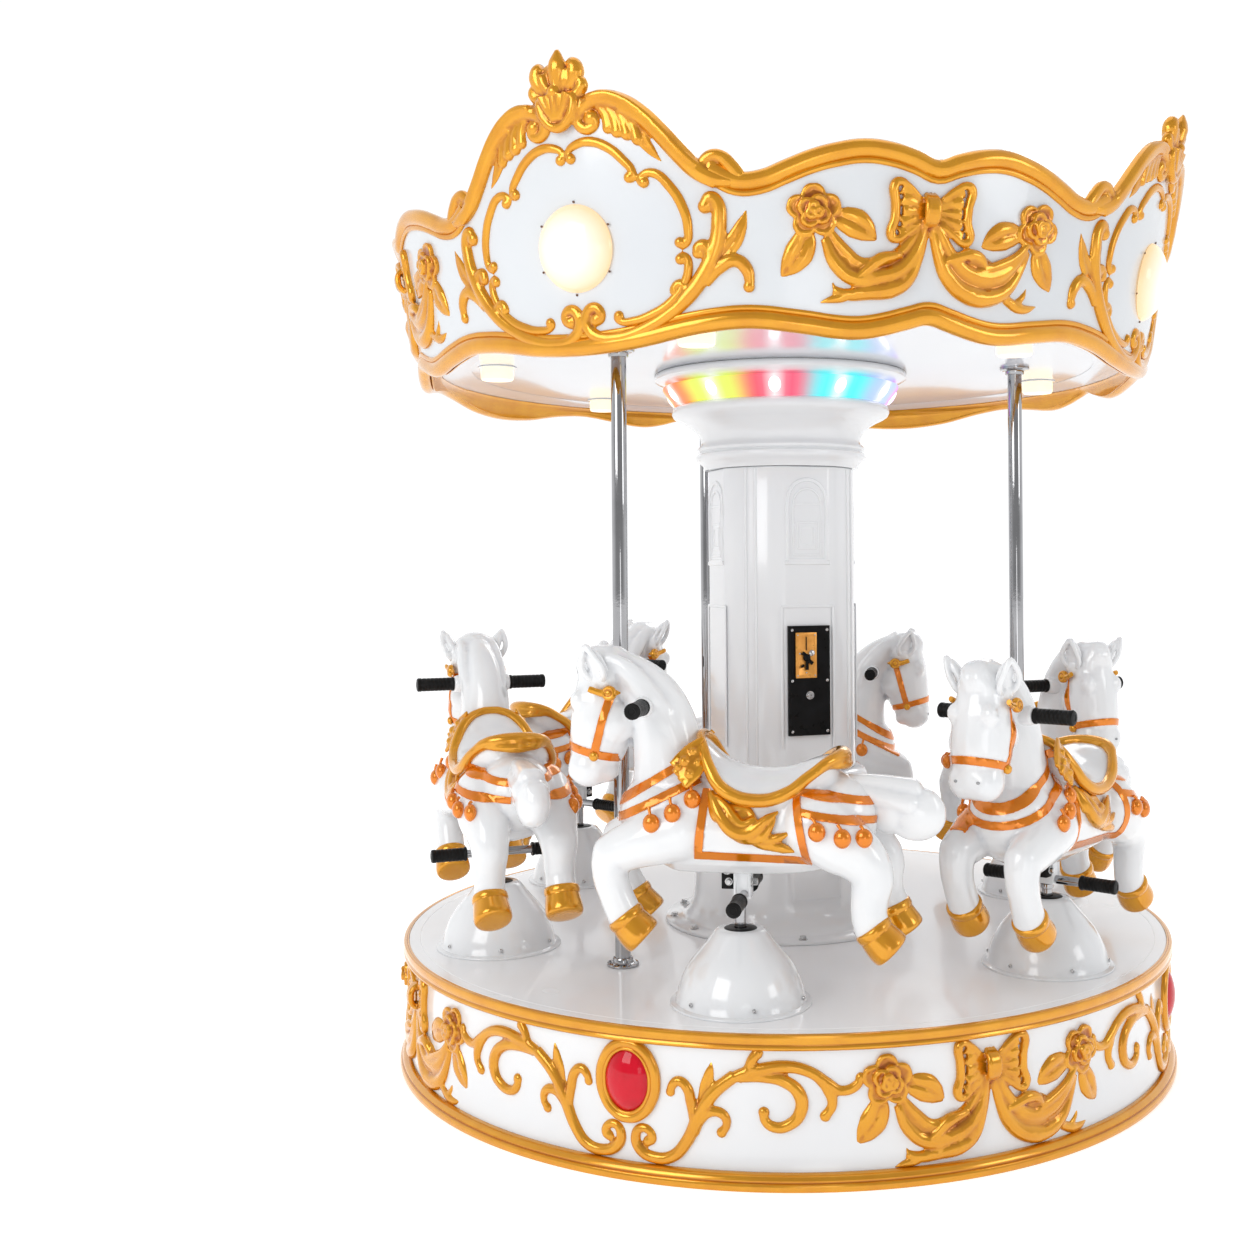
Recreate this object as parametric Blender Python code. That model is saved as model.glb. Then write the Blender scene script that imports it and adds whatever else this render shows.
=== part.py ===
"""Six-seat galloping-horse carousel, full size, in metres with +Z up.

The frame's origin is the centre of the base on the floor, and -Y is the side that the coin panel looks
out of most. The base stands still; the turntable with its column, canopy and horses turns about +Z, and
each horse rides up and down on its own post. An azimuth is counted in degrees from -Y towards +X.
"""
import math

import bmesh
import bpy
from mathutils import Matrix, Vector

# Fit between pieces that touch
GAP = 0.0003
ROUND_SEGMENTS = 48
COLUMN_SEGMENTS = 32
CONE_SEGMENTS = 16
SMALL_SEGMENTS = 12

# Base and turntable
SKIRT_RADIUS = 1.083
SKIRT_WALL = 0.012
SKIRT_TOP = 0.316
BASE_RIM_RADIUS = 1.110
BASE_RIM_HEIGHT = 0.035
DECK_RADIUS = 1.085
DECK_RIM_RADIUS = 1.100
DECK_UNDERSIDE = 0.322
DECK_TOP = 0.342
FRAME_BEAM = 0.060
HUB_RADIUS = 0.110

# Oval stones on the skirt
STONE_TURN = -20.0
STONE_COUNT = 4
STONE_HEIGHT_ON_SKIRT = 0.217
STONE_SIZE = (0.118, 0.152)
STONE_RISE = 0.028
STONE_SEAT_RADIUS = 1.0823

# Column
COLUMN_TURN = 21.0
PLINTH_TOP = 0.850
SHAFT_TOP = 1.660
SHAFT_RADIUS = 0.2136
SHAFT_FLAT = 0.2030
FLANGE_RADIUS = 0.350
CAPITAL_LIP_RADIUS = 0.371
LED_GROOVE_RADIUS = 0.297
LED_RING_RADIUS = 0.310
LED_BAND = (1.846, 1.904)
COIN_PANEL_SIZE = (0.125, 0.310)
COIN_PANEL_THICKNESS = 0.012
COIN_PANEL_BOTTOM = 0.898

# Poles between the horses
POLE_TURN = -38.0
POLE_COUNT = 3
POLE_CIRCLE = 0.682
POLE_RADIUS = 0.020
POLE_FLANGE_RADIUS = 0.042
POLE_FLANGE_HEIGHT = 0.008

# Canopy
CANOPY_TURN = -26.0
CREST_COUNT = 4
CEILING = 1.944
CEILING_THICKNESS = 0.012
CEILING_RADIUS = 0.975
FLANGE_INNER = 0.940
FLANGE_THICKNESS = 0.010
WALL_INNER = 1.005
ROOF_RADIUS = 0.965
ROOF_APEX = 2.130
ROOF_SHELL = 0.010
FASCIA_RADIUS = 1.026
FASCIA_RADIUS_HEIGHT = 1.880
FASCIA_LEAN = 0.190
FASCIA_WALL = 0.018
ROLL = 0.022
ROLL_SET_IN = 0.008

# Heights of the fascia's upper and lower edges, by degrees away from the middle of a crest
TOP_EDGE = ((0, 2.548), (1.8, 2.522), (3.8, 2.460), (7.5, 2.438), (11.3, 2.382), (16, 2.286),
            (18.2, 2.276), (21, 2.247), (24, 2.251), (30, 2.293), (36, 2.316), (41, 2.304), (45, 2.280))
BOTTOM_EDGE = ((0, 1.868), (8, 1.877), (15, 1.898), (22, 1.908), (28, 1.897), (35, 1.882), (40, 1.895),
               (45, 1.918))

# Lamps in the crests and under the ceiling
CREST_LAMP_HEIGHT = 2.110
CREST_LAMP_RADIUS = 0.100
CREST_LAMP_RISE = 0.045
CEILING_LAMP_TURN = -14.0
CEILING_LAMP_COUNT = 6
CEILING_LAMP_CIRCLE = 0.830
CEILING_LAMP_RADIUS = 0.050
CEILING_LAMP_DROP = 0.040

# Horses and what carries them
HORSE_TURN = -7.0
HORSE_COUNT = 6
HORSE_CIRCLE = 0.8525
HORSE_LIFT = (0.0, -0.040, -0.035, -0.040, 0.0, 0.0)
CONE_RADIUS = 0.169
CONE_TOP_RADIUS = 0.060
CONE_TOP = 0.517
CONE_WALL = 0.006
GUIDE_WALL = 0.006
GUIDE_LENGTH = 0.090
POST_RADIUS = 0.0135
POST_FOOT = 0.400
BRACKET_SIZE = (0.060, 0.046)
BRACKET_BOTTOM = 0.572
BRACKET_TOP = 0.690
FOOTREST_PLACE = (-0.012, 0.600)
FOOTREST_HALF = 0.186
HANDLE_PLACE = (0.218, 1.046)
HANDLE_HALF = 0.185
BAR_RADIUS = 0.011
GRIP_RADIUS = 0.0175
GRIP_LENGTH = 0.112

# Stations of the horse: centre along the horse, centre height, half height across, half width sideways
TRUNK = ((-0.306, 0.800, 0.044, 0.048), (-0.280, 0.790, 0.100, 0.102), (-0.205, 0.778, 0.120, 0.122),
         (-0.060, 0.766, 0.119, 0.124), (0.050, 0.768, 0.122, 0.122), (0.130, 0.777, 0.131, 0.122),
         (0.210, 0.782, 0.126, 0.116), (0.268, 0.788, 0.094, 0.092), (0.292, 0.790, 0.050, 0.055))
NECK = ((0.168, 0.800, 0.112, 0.088), (0.190, 0.900, 0.100, 0.078), (0.206, 1.010, 0.090, 0.069),
        (0.248, 1.090, 0.080, 0.064), (0.300, 1.118, 0.066, 0.060))
HEAD = ((0.308, 1.168, 0.036, 0.045), (0.326, 1.130, 0.070, 0.072), (0.342, 1.065, 0.072, 0.077),
        (0.358, 0.960, 0.059, 0.060), (0.374, 0.900, 0.050, 0.056), (0.384, 0.864, 0.026, 0.034))
CANTLE = ((-0.125, 0.870, 0.030, 0.075), (-0.175, 0.900, 0.034, 0.085), (-0.218, 0.922, 0.030, 0.080),
          (-0.248, 0.905, 0.022, 0.060))
TAIL = ((-0.262, 0.850, 0.038, 0.036), (-0.306, 0.868, 0.034, 0.036), (-0.350, 0.842, 0.042, 0.044),
        (-0.378, 0.796, 0.056, 0.050), (-0.432, 0.776, 0.046, 0.050), (-0.464, 0.828, 0.030, 0.036))
LEGS = {
    "fore_near": (0.085, ((0.145, 0.750, 0.075, 0.052), (0.289, 0.705, 0.050, 0.050),
                          (0.292, 0.650, 0.042, 0.044), (0.258, 0.578, 0.040, 0.042),
                          (0.209, 0.522, 0.046, 0.048))),
    "fore_far": (-0.085, ((0.150, 0.750, 0.075, 0.052), (0.306, 0.712, 0.050, 0.050),
                          (0.312, 0.656, 0.042, 0.044), (0.282, 0.588, 0.040, 0.042),
                          (0.232, 0.530, 0.046, 0.048))),
    "hind_near": (0.088, ((-0.206, 0.758, 0.080, 0.052), (-0.307, 0.692, 0.056, 0.054),
                          (-0.309, 0.628, 0.044, 0.046), (-0.298, 0.560, 0.040, 0.040),
                          (-0.332, 0.492, 0.047, 0.048))),
    "hind_far": (-0.088, ((-0.206, 0.758, 0.080, 0.052), (-0.318, 0.678, 0.056, 0.054),
                          (-0.330, 0.620, 0.044, 0.046), (-0.340, 0.570, 0.040, 0.040),
                          (-0.380, 0.518, 0.047, 0.048))),
}
EAR_BASE = (0.332, 0.050, 1.128)
EAR_TIP = (0.366, 0.084, 1.190)
EAR_RADIUS = 0.026
TRUNK_SIDES = 10
LEG_SIDES = 6
BAR_SIDES = 8

FINISHES = {
    "white_fibreglass": ((0.86, 0.87, 0.88), 0.18, 0.0),
    "gold_paint": ((0.83, 0.49, 0.07), 0.30, 0.85),
    "red_stone": ((0.55, 0.01, 0.03), 0.10, 0.0),
    "chrome": ((0.78, 0.79, 0.80), 0.10, 1.0),
    "black_rubber": ((0.02, 0.02, 0.02), 0.55, 0.0),
    "black_panel": ((0.02, 0.02, 0.02), 0.35, 0.0),
    "lamp_glass": ((1.00, 0.93, 0.78), 0.25, 0.0),
    "steel_frame": ((0.20, 0.21, 0.22), 0.50, 0.6),
}


def clear_scene():
    """Start from an empty scene."""
    for old in list(bpy.data.objects):
        bpy.data.objects.remove(old)


def finish(name):
    """Return the named Principled material, made on first use."""
    if name in bpy.data.materials:
        return bpy.data.materials[name]
    colour, roughness, metallic = FINISHES[name]
    material = bpy.data.materials.new(name)
    material.use_nodes = True
    shader = material.node_tree.nodes["Principled BSDF"]
    shader.inputs["Base Color"].default_value = (*colour, 1.0)
    shader.inputs["Roughness"].default_value = roughness
    shader.inputs["Metallic"].default_value = metallic
    return material


def add_object(name, bm, finish_name, parent=None, place=(0.0, 0.0, 0.0), turn=0.0):
    """Turn a bmesh into a named object with its finish, place and parent."""
    bmesh.ops.remove_doubles(bm, verts=bm.verts, dist=1e-6)
    bmesh.ops.recalc_face_normals(bm, faces=bm.faces)
    mesh = bpy.data.meshes.new(name)
    bm.to_mesh(mesh)
    bm.free()
    mesh.shade_smooth()
    mesh.set_sharp_from_angle(angle=math.radians(35.0))
    mesh.materials.append(finish(finish_name))
    return place_mesh(name, mesh, parent, place, turn)


def place_mesh(name, mesh, parent=None, place=(0.0, 0.0, 0.0), turn=0.0):
    """Put a mesh into the scene as a named object."""
    obj = bpy.data.objects.new(name, mesh)
    obj.location = place
    obj.rotation_euler[2] = turn
    obj.parent = parent
    bpy.context.collection.objects.link(obj)
    return obj


def add_axis(name, parent=None, place=(0.0, 0.0, 0.0), turn=0.0):
    """Add an empty that stands on a joint's axis and carries the pieces that move on it."""
    return place_mesh(name, None, parent, place, turn)


def at_azimuth(radius, azimuth, height=0.0):
    """Point at a radius and an azimuth counted from -Y towards +X."""
    angle = math.radians(azimuth)
    return Vector((radius * math.sin(angle), -radius * math.cos(angle), height))


def outward_turn(azimuth):
    """Rotation about +Z that brings local +X to look outwards at an azimuth."""
    return math.radians(azimuth - 90.0)


def turned(profile, segments=ROUND_SEGMENTS):
    """Spin a closed outline of (radius, height) points about +Z."""
    bm = bmesh.new()
    verts = [bm.verts.new((radius, 0.0, height)) for radius, height in profile]
    edges = []
    for index, vert in enumerate(verts):
        following = verts[(index + 1) % len(verts)]
        on_axis = vert.co.x == 0.0 and following.co.x == 0.0
        if not on_axis:
            edges.append(bm.edges.new((vert, following)))
    bmesh.ops.spin(bm, geom=verts + edges, axis=(0, 0, 1), cent=(0, 0, 0), steps=segments,
                   angle=math.tau, use_merge=True)
    return bm


def skin_sections(sections, closed_ends=True):
    """Join rings of points into one closed skin, with a flat cap at each end."""
    bm = bmesh.new()
    rings = [[bm.verts.new(point) for point in section] for section in sections]
    for first, second in zip(rings, rings[1:]):
        for index in range(len(first)):
            following = (index + 1) % len(first)
            bm.faces.new((first[index], first[following], second[following], second[index]))
    if closed_ends:
        bm.faces.new(rings[0])
        bm.faces.new(reversed(rings[-1]))
    return bm


def limb(stations, side, sides):
    """Loft an oval limb through stations that lie in an upright plane at a distance to one side."""
    centres = [Vector((x, side, z)) for x, z, _, _ in stations]
    sections = []
    for index, (_, _, tall, wide) in enumerate(stations):
        before = centres[max(index - 1, 0)]
        after = centres[min(index + 1, len(centres) - 1)]
        along = (after - before).normalized()
        across = Vector((-along.z, 0.0, along.x))
        ring = []
        for step in range(sides):
            angle = math.tau * (step + 0.5) / sides
            ring.append(centres[index] + across * tall * math.cos(angle)
                        + Vector((0.0, wide * math.sin(angle), 0.0)))
        sections.append(ring)
    return skin_sections(sections)


def rod(start, end, radius, sides=BAR_SIDES):
    """Round bar between two points."""
    start, end = Vector(start), Vector(end)
    bm = bmesh.new()
    bmesh.ops.create_cone(bm, cap_ends=True, segments=sides, radius1=radius, radius2=radius,
                          depth=(end - start).length)
    turn = Vector((0, 0, 1)).rotation_difference(end - start).to_matrix().to_4x4()
    bmesh.ops.transform(bm, verts=bm.verts, matrix=Matrix.Translation((start + end) / 2) @ turn)
    return bm


def block(low, high):
    """Box between two corners."""
    low, high = Vector(low), Vector(high)
    bm = bmesh.new()
    bmesh.ops.create_cube(bm, size=1.0)
    size = Matrix.Diagonal((*(high - low), 1.0))
    bmesh.ops.transform(bm, verts=bm.verts, matrix=Matrix.Translation((low + high) / 2) @ size)
    return bm


def fuse(body, shapes, operation="UNION"):
    """Join closed shapes to a body one after the other, or cut them out of it, and keep the result."""
    for shape in shapes:
        tool = add_object("tool", shape, "steel_frame")
        step = body.modifiers.new("join", "BOOLEAN")
        step.operation = operation
        step.solver = "EXACT"
        step.object = tool
        evaluated = body.evaluated_get(bpy.context.evaluated_depsgraph_get())
        mesh = bpy.data.meshes.new_from_object(evaluated)
        body.modifiers.clear()
        body.data = mesh
        bpy.data.objects.remove(tool)
    return body


def along_edge(edge, degrees):
    """Height of a fascia edge, read between its points by the distance from the nearest crest's middle."""
    distance = abs(degrees)
    for (start, low), (end, high) in zip(edge, edge[1:]):
        if distance <= end:
            share = (distance - start) / (end - start)
            share = share * share * (3.0 - 2.0 * share)
            return low + (high - low) * share
    return edge[-1][1]


def fascia_radius(height):
    """Outer radius of the leaning fascia at a height."""
    return FASCIA_RADIUS + FASCIA_LEAN * (height - FASCIA_RADIUS_HEIGHT)


def build_base():
    """Fixed base: skirt wall, floor rim, crossed beams with the bearing post, and the four oval stones."""
    inner = SKIRT_RADIUS - SKIRT_WALL
    skirt = turned([(inner, 0.0), (SKIRT_RADIUS, 0.0), (SKIRT_RADIUS, SKIRT_TOP), (inner, SKIRT_TOP)])
    add_object("base_skirt", skirt, "white_fibreglass")
    rim_inner = SKIRT_RADIUS + GAP
    rim = turned([(rim_inner, 0.0), (BASE_RIM_RADIUS, 0.0), (BASE_RIM_RADIUS, BASE_RIM_HEIGHT - 0.010),
                  (BASE_RIM_RADIUS - 0.010, BASE_RIM_HEIGHT), (rim_inner, BASE_RIM_HEIGHT)])
    add_object("base_rim", rim, "gold_paint")

    beam = FRAME_BEAM / 2
    end = inner - beam * math.tan(math.pi / ROUND_SEGMENTS) - GAP
    frame = add_object("base_frame", block((-end, -beam, 0.0), (end, beam, FRAME_BEAM)), "steel_frame")
    fuse(frame, [block((-beam, -end, 0.0), (beam, end, FRAME_BEAM))])
    post = rod((0, 0, FRAME_BEAM + GAP), (0, 0, DECK_UNDERSIDE - GAP), HUB_RADIUS, CONE_SEGMENTS)
    add_object("bearing_post", post, "steel_frame")

    wide, high = STONE_SIZE
    dome = ((0.0, STONE_RISE), (0.22, STONE_RISE * 0.92), (0.40, STONE_RISE * 0.62), (0.5, 0.0), (0.0, 0.0))
    for number in range(STONE_COUNT):
        azimuth = STONE_TURN + number * 360.0 / STONE_COUNT
        stone = turned(dome, SMALL_SEGMENTS)
        flat = Matrix.Diagonal((high, wide, 1.0, 1.0))
        upright = Matrix.Rotation(math.radians(90.0), 4, "Y")
        bmesh.ops.transform(stone, verts=stone.verts, matrix=upright @ flat)
        add_object(f"stone_{number + 1}", stone, "red_stone",
                   place=at_azimuth(STONE_SEAT_RADIUS, azimuth, STONE_HEIGHT_ON_SKIRT),
                   turn=outward_turn(azimuth))


def build_deck(turntable):
    """Turning deck with its gold edge."""
    deck = turned([(0.0, DECK_UNDERSIDE), (DECK_RADIUS, DECK_UNDERSIDE), (DECK_RADIUS, DECK_TOP),
                   (0.0, DECK_TOP)])
    add_object("deck", deck, "white_fibreglass", turntable)
    inner = DECK_RADIUS + GAP
    edge = turned([(inner, DECK_UNDERSIDE), (DECK_RIM_RADIUS - 0.004, DECK_UNDERSIDE),
                   (DECK_RIM_RADIUS, (DECK_UNDERSIDE + DECK_TOP) / 2), (DECK_RIM_RADIUS - 0.004, DECK_TOP),
                   (inner, DECK_TOP)])
    add_object("deck_rim", edge, "gold_paint", turntable)


def shaft_outline():
    """Plan of the column: a circle with four flats."""
    half = math.degrees(math.acos(SHAFT_FLAT / SHAFT_RADIUS))
    points = []
    for face in range(4):
        for step in range(6):
            degrees = COLUMN_TURN + face * 90.0 + half + step * (90.0 - 2 * half) / 5
            points.append(at_azimuth(SHAFT_RADIUS, degrees))
    return points


def build_column(turntable):
    """Column in the middle: plinth, shaft, capital, light ring and coin panel."""
    foot = DECK_TOP + GAP
    plinth = turned([(0.0, foot), (FLANGE_RADIUS, foot), (FLANGE_RADIUS, foot + 0.018),
                     (0.292, foot + 0.022), (0.262, foot + 0.060), (0.250, PLINTH_TOP - 0.030),
                     (0.232, PLINTH_TOP - GAP),
                     (0.0, PLINTH_TOP - GAP)], COLUMN_SEGMENTS)
    add_object("column_plinth", plinth, "white_fibreglass", turntable)

    outline = shaft_outline()
    shaft = skin_sections([[Vector((p.x, p.y, height)) for p in outline]
                           for height in (PLINTH_TOP, SHAFT_TOP - GAP)])
    add_object("column_shaft", shaft, "white_fibreglass", turntable)

    low, high = LED_BAND
    capital = turned([(0.0, SHAFT_TOP), (0.226, SHAFT_TOP), (0.2507, 1.692), (0.2507, 1.718),
                      (0.236, 1.738), (0.262, 1.782), (0.322, 1.814), (0.322, low - GAP),
                      (LED_GROOVE_RADIUS, low - GAP), (LED_GROOVE_RADIUS, high + GAP),
                      (CAPITAL_LIP_RADIUS, 1.922), (CAPITAL_LIP_RADIUS, CEILING - GAP),
                      (0.0, CEILING - GAP)], COLUMN_SEGMENTS)
    add_object("column_capital", capital, "white_fibreglass", turntable)
    ring = turned([(LED_GROOVE_RADIUS + GAP, low), (LED_RING_RADIUS, low), (LED_RING_RADIUS, high),
                   (LED_GROOVE_RADIUS + GAP, high)], COLUMN_SEGMENTS)
    add_object("light_ring", ring, "lamp_glass", turntable)

    wide, high = COIN_PANEL_SIZE
    panel = block((0.0, -wide / 2, 0.0), (COIN_PANEL_THICKNESS, wide / 2, high))
    add_object("coin_panel", panel, "black_panel", turntable,
               at_azimuth(SHAFT_FLAT + GAP, COLUMN_TURN, COIN_PANEL_BOTTOM), outward_turn(COLUMN_TURN))


def build_poles(turntable):
    """Three chrome poles from the deck to the ceiling, each with a foot flange."""
    foot = DECK_TOP + GAP
    shoulder = foot + POLE_FLANGE_HEIGHT
    outline = [(0.0, foot), (POLE_FLANGE_RADIUS, foot), (POLE_FLANGE_RADIUS, shoulder),
               (POLE_RADIUS, shoulder), (POLE_RADIUS, CEILING - GAP), (0.0, CEILING - GAP)]
    for number in range(POLE_COUNT):
        azimuth = POLE_TURN + number * 360.0 / POLE_COUNT
        add_object(f"pole_{number + 1}", turned(outline, SMALL_SEGMENTS), "chrome", turntable,
                   at_azimuth(POLE_CIRCLE, azimuth))


def fascia_section(degrees, azimuth):
    """Outline of the fascia, rolls and inner flange where a crest's middle is some degrees away."""
    top = along_edge(TOP_EDGE, degrees)
    bottom = along_edge(BOTTOM_EDGE, degrees)
    low_roll = fascia_radius(bottom + ROLL) - ROLL_SET_IN
    high_roll = fascia_radius(top - ROLL) - ROLL_SET_IN
    neck_low = bottom + 2.1 * ROLL
    neck_high = top - 2.1 * ROLL
    shelf = CEILING - GAP
    points = [(FLANGE_INNER, CEILING - FLANGE_THICKNESS), (low_roll - 0.7 * ROLL, bottom + 0.2 * ROLL),
              (low_roll + 0.5 * ROLL, bottom), (low_roll + ROLL, bottom + ROLL),
              (fascia_radius(neck_low), neck_low), (fascia_radius(neck_high), neck_high),
              (high_roll + ROLL, top - ROLL), (high_roll + 0.3 * ROLL, top),
              (high_roll - ROLL, top - 0.6 * ROLL), (fascia_radius(neck_high) - FASCIA_WALL, neck_high),
              (WALL_INNER, shelf), (FLANGE_INNER, shelf)]
    return [at_azimuth(radius, azimuth + degrees, height) for radius, height in points]


def build_canopy(turntable):
    """Ceiling with its lamp housings, low roof, and four fascia quarters with a lamp in each crest."""
    ceiling = add_object("ceiling", turned([(0.0, CEILING), (CEILING_RADIUS, CEILING),
                                            (CEILING_RADIUS, CEILING + CEILING_THICKNESS),
                                            (0.0, CEILING + CEILING_THICKNESS)]),
                         "white_fibreglass", turntable)
    housings = []
    for number in range(CEILING_LAMP_COUNT):
        azimuth = CEILING_LAMP_TURN + number * 360.0 / CEILING_LAMP_COUNT
        start = at_azimuth(CEILING_LAMP_CIRCLE, azimuth, CEILING - CEILING_LAMP_DROP)
        end = at_azimuth(CEILING_LAMP_CIRCLE, azimuth, CEILING + CEILING_THICKNESS / 2)
        housings.append(rod(start, end, CEILING_LAMP_RADIUS, SMALL_SEGMENTS))
    fuse(ceiling, housings)

    seat = CEILING + CEILING_THICKNESS + GAP
    roof = turned([(ROOF_RADIUS, seat), (ROOF_RADIUS, seat + ROOF_SHELL), (0.0, ROOF_APEX),
                   (0.0, ROOF_APEX - ROOF_SHELL), (ROOF_RADIUS - 0.040, seat)])
    add_object("roof", roof, "white_fibreglass", turntable)

    half = 180.0 / CREST_COUNT
    joint = math.degrees(GAP / 2 / FLANGE_INNER)
    places = [degrees for degrees, _ in TOP_EDGE[:-1]] + [half - joint]
    places = [-degrees for degrees in reversed(places[1:])] + places
    for number in range(CREST_COUNT):
        azimuth = CANOPY_TURN + number * 2 * half
        fascia = skin_sections([fascia_section(degrees, azimuth) for degrees in places])
        add_object(f"fascia_{number + 1}", fascia, "white_fibreglass", turntable)
        build_crest_lamp(number + 1, azimuth, turntable)


def build_crest_lamp(number, azimuth, turntable):
    """Domed lamp glass that lies on the leaning face of a crest."""
    rise, radius = CREST_LAMP_RISE, CREST_LAMP_RADIUS
    dome = turned([(0.0, rise), (radius * 0.40, rise * 0.92), (radius * 0.75, rise * 0.62),
                   (radius * 0.96, rise * 0.22), (radius, 0.0), (0.0, 0.0)], SMALL_SEGMENTS)
    lean = Matrix.Rotation(math.radians(90.0) + math.atan(FASCIA_LEAN), 4, "Y")
    bmesh.ops.transform(dome, verts=dome.verts, matrix=lean)
    add_object(f"crest_lamp_{number}", dome, "lamp_glass", turntable,
               at_azimuth(fascia_radius(CREST_LAMP_HEIGHT) + GAP * 2, azimuth, CREST_LAMP_HEIGHT),
               outward_turn(azimuth))


def cone_shape():
    """Hollow cone on the deck, with a guide tube for the post down from its top."""
    bore = POST_RADIUS + GAP
    foot = DECK_TOP + GAP
    under = CONE_TOP - CONE_WALL
    return turned([(CONE_RADIUS, foot), (0.128, 0.432), (CONE_TOP_RADIUS, CONE_TOP),
                   (bore, CONE_TOP), (bore, CONE_TOP - GUIDE_LENGTH),
                   (bore + GUIDE_WALL, CONE_TOP - GUIDE_LENGTH), (bore + GUIDE_WALL, under),
                   (CONE_TOP_RADIUS - CONE_WALL, under), (0.121, 0.428),
                   (CONE_RADIUS - CONE_WALL, foot)], CONE_SEGMENTS)


def ear(side):
    """One pointed ear, from the top of the head outwards."""
    base, tip = Vector(EAR_BASE), Vector(EAR_TIP)
    base.y *= side
    tip.y *= side
    bm = bmesh.new()
    bmesh.ops.create_cone(bm, cap_ends=True, segments=6, radius1=EAR_RADIUS, radius2=0.006,
                          depth=(tip - base).length)
    turn = Vector((0, 0, 1)).rotation_difference(tip - base).to_matrix().to_4x4()
    bmesh.ops.transform(bm, verts=bm.verts, matrix=Matrix.Translation((base + tip) / 2) @ turn)
    return bm


def horse_mesh():
    """Moulded horse, with pockets for the bracket below and the handlebar through the neck."""
    horse = add_object("horse", limb(TRUNK, 0.0, TRUNK_SIDES), "white_fibreglass")
    shapes = [limb(NECK, 0.0, TRUNK_SIDES), limb(HEAD, 0.0, TRUNK_SIDES), limb(CANTLE, 0.0, LEG_SIDES),
              limb(TAIL, 0.0, LEG_SIDES), ear(1), ear(-1)]
    shapes += [limb(stations, side, LEG_SIDES) for side, stations in LEGS.values()]
    fuse(horse, shapes)

    long, wide = BRACKET_SIZE
    pocket = block((-long / 2 - GAP, -wide / 2 - GAP, BRACKET_BOTTOM),
                   (long / 2 + GAP, wide / 2 + GAP, BRACKET_TOP + GAP))
    x, z = HANDLE_PLACE
    bore = rod((x, -HANDLE_HALF, z), (x, HANDLE_HALF, z), BAR_RADIUS + GAP)
    fuse(horse, [pocket, bore], "DIFFERENCE")
    mesh = horse.data
    bpy.data.objects.remove(horse)
    return mesh


def gripped_bar(name, x, z, half, bar=None):
    """Crossbar with a rubber grip at each end."""
    body = bar or add_object(name, rod((x, -half, z), (x, half, z), BAR_RADIUS), "chrome")
    grips = [rod((x, side * (half - GRIP_LENGTH), z), (x, side * (half + GAP), z), GRIP_RADIUS)
             for side in (-1, 1)]
    fuse(body, grips)
    return body


def handlebar_mesh():
    """Handlebar through the neck."""
    x, z = HANDLE_PLACE
    bar = gripped_bar("handlebar", x, z, HANDLE_HALF)
    mesh = bar.data
    bpy.data.objects.remove(bar)
    return mesh


def carrier_mesh():
    """Post, bracket under the belly and footrest, in one welded piece."""
    long, wide = BRACKET_SIZE
    carrier = add_object("carrier", block((-long / 2, -wide / 2, BRACKET_BOTTOM),
                                          (long / 2, wide / 2, BRACKET_TOP)), "chrome")
    x, z = FOOTREST_PLACE
    fuse(carrier, [rod((0, 0, POST_FOOT), (0, 0, BRACKET_BOTTOM + 0.020), POST_RADIUS, SMALL_SEGMENTS),
                   rod((x, -FOOTREST_HALF, z), (x, FOOTREST_HALF, z), BAR_RADIUS)])
    gripped_bar("carrier", x, z, FOOTREST_HALF, carrier)
    mesh = carrier.data
    bpy.data.objects.remove(carrier)
    return mesh


def build_horses(turntable):
    """Six horses with cones, posts, footrests and handlebars, each at its own point of the up-down stroke."""
    horse, handlebar, carrier = horse_mesh(), handlebar_mesh(), carrier_mesh()
    for number in range(HORSE_COUNT):
        azimuth = HORSE_TURN + number * 360.0 / HORSE_COUNT
        spot = at_azimuth(HORSE_CIRCLE, azimuth)
        add_object(f"cone_{number + 1}", cone_shape(), "white_fibreglass", turntable, spot)
        raised = spot + Vector((0.0, 0.0, HORSE_LIFT[number]))
        slide = add_axis(f"slide_{number + 1}", turntable, raised, math.radians(azimuth + 180.0))
        place_mesh(f"horse_{number + 1}", horse, slide)
        place_mesh(f"handlebar_{number + 1}", handlebar, slide)
        place_mesh(f"carrier_{number + 1}", carrier, slide)


def build():
    """Build the whole carousel."""
    clear_scene()
    build_base()
    turntable = add_axis("turntable_axis")
    build_deck(turntable)
    build_column(turntable)
    build_poles(turntable)
    build_canopy(turntable)
    build_horses(turntable)


build()
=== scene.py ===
"""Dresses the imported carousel: every node that shows gets its finished piece, light and a camera.

Lengths are metres with +Z up, and an azimuth is counted in degrees from -Y towards +X. A piece is
modelled facing -Y and then turned to its azimuth. Relief for a round wall is modelled flat, with X along
the wall, and then wrapped onto it.
"""
from __future__ import annotations

import logging
import math
from contextlib import contextmanager
from dataclasses import dataclass
from enum import Enum
from typing import Callable, Iterator, Sequence

import bmesh
import bpy
from mathutils import Matrix, Vector

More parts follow.
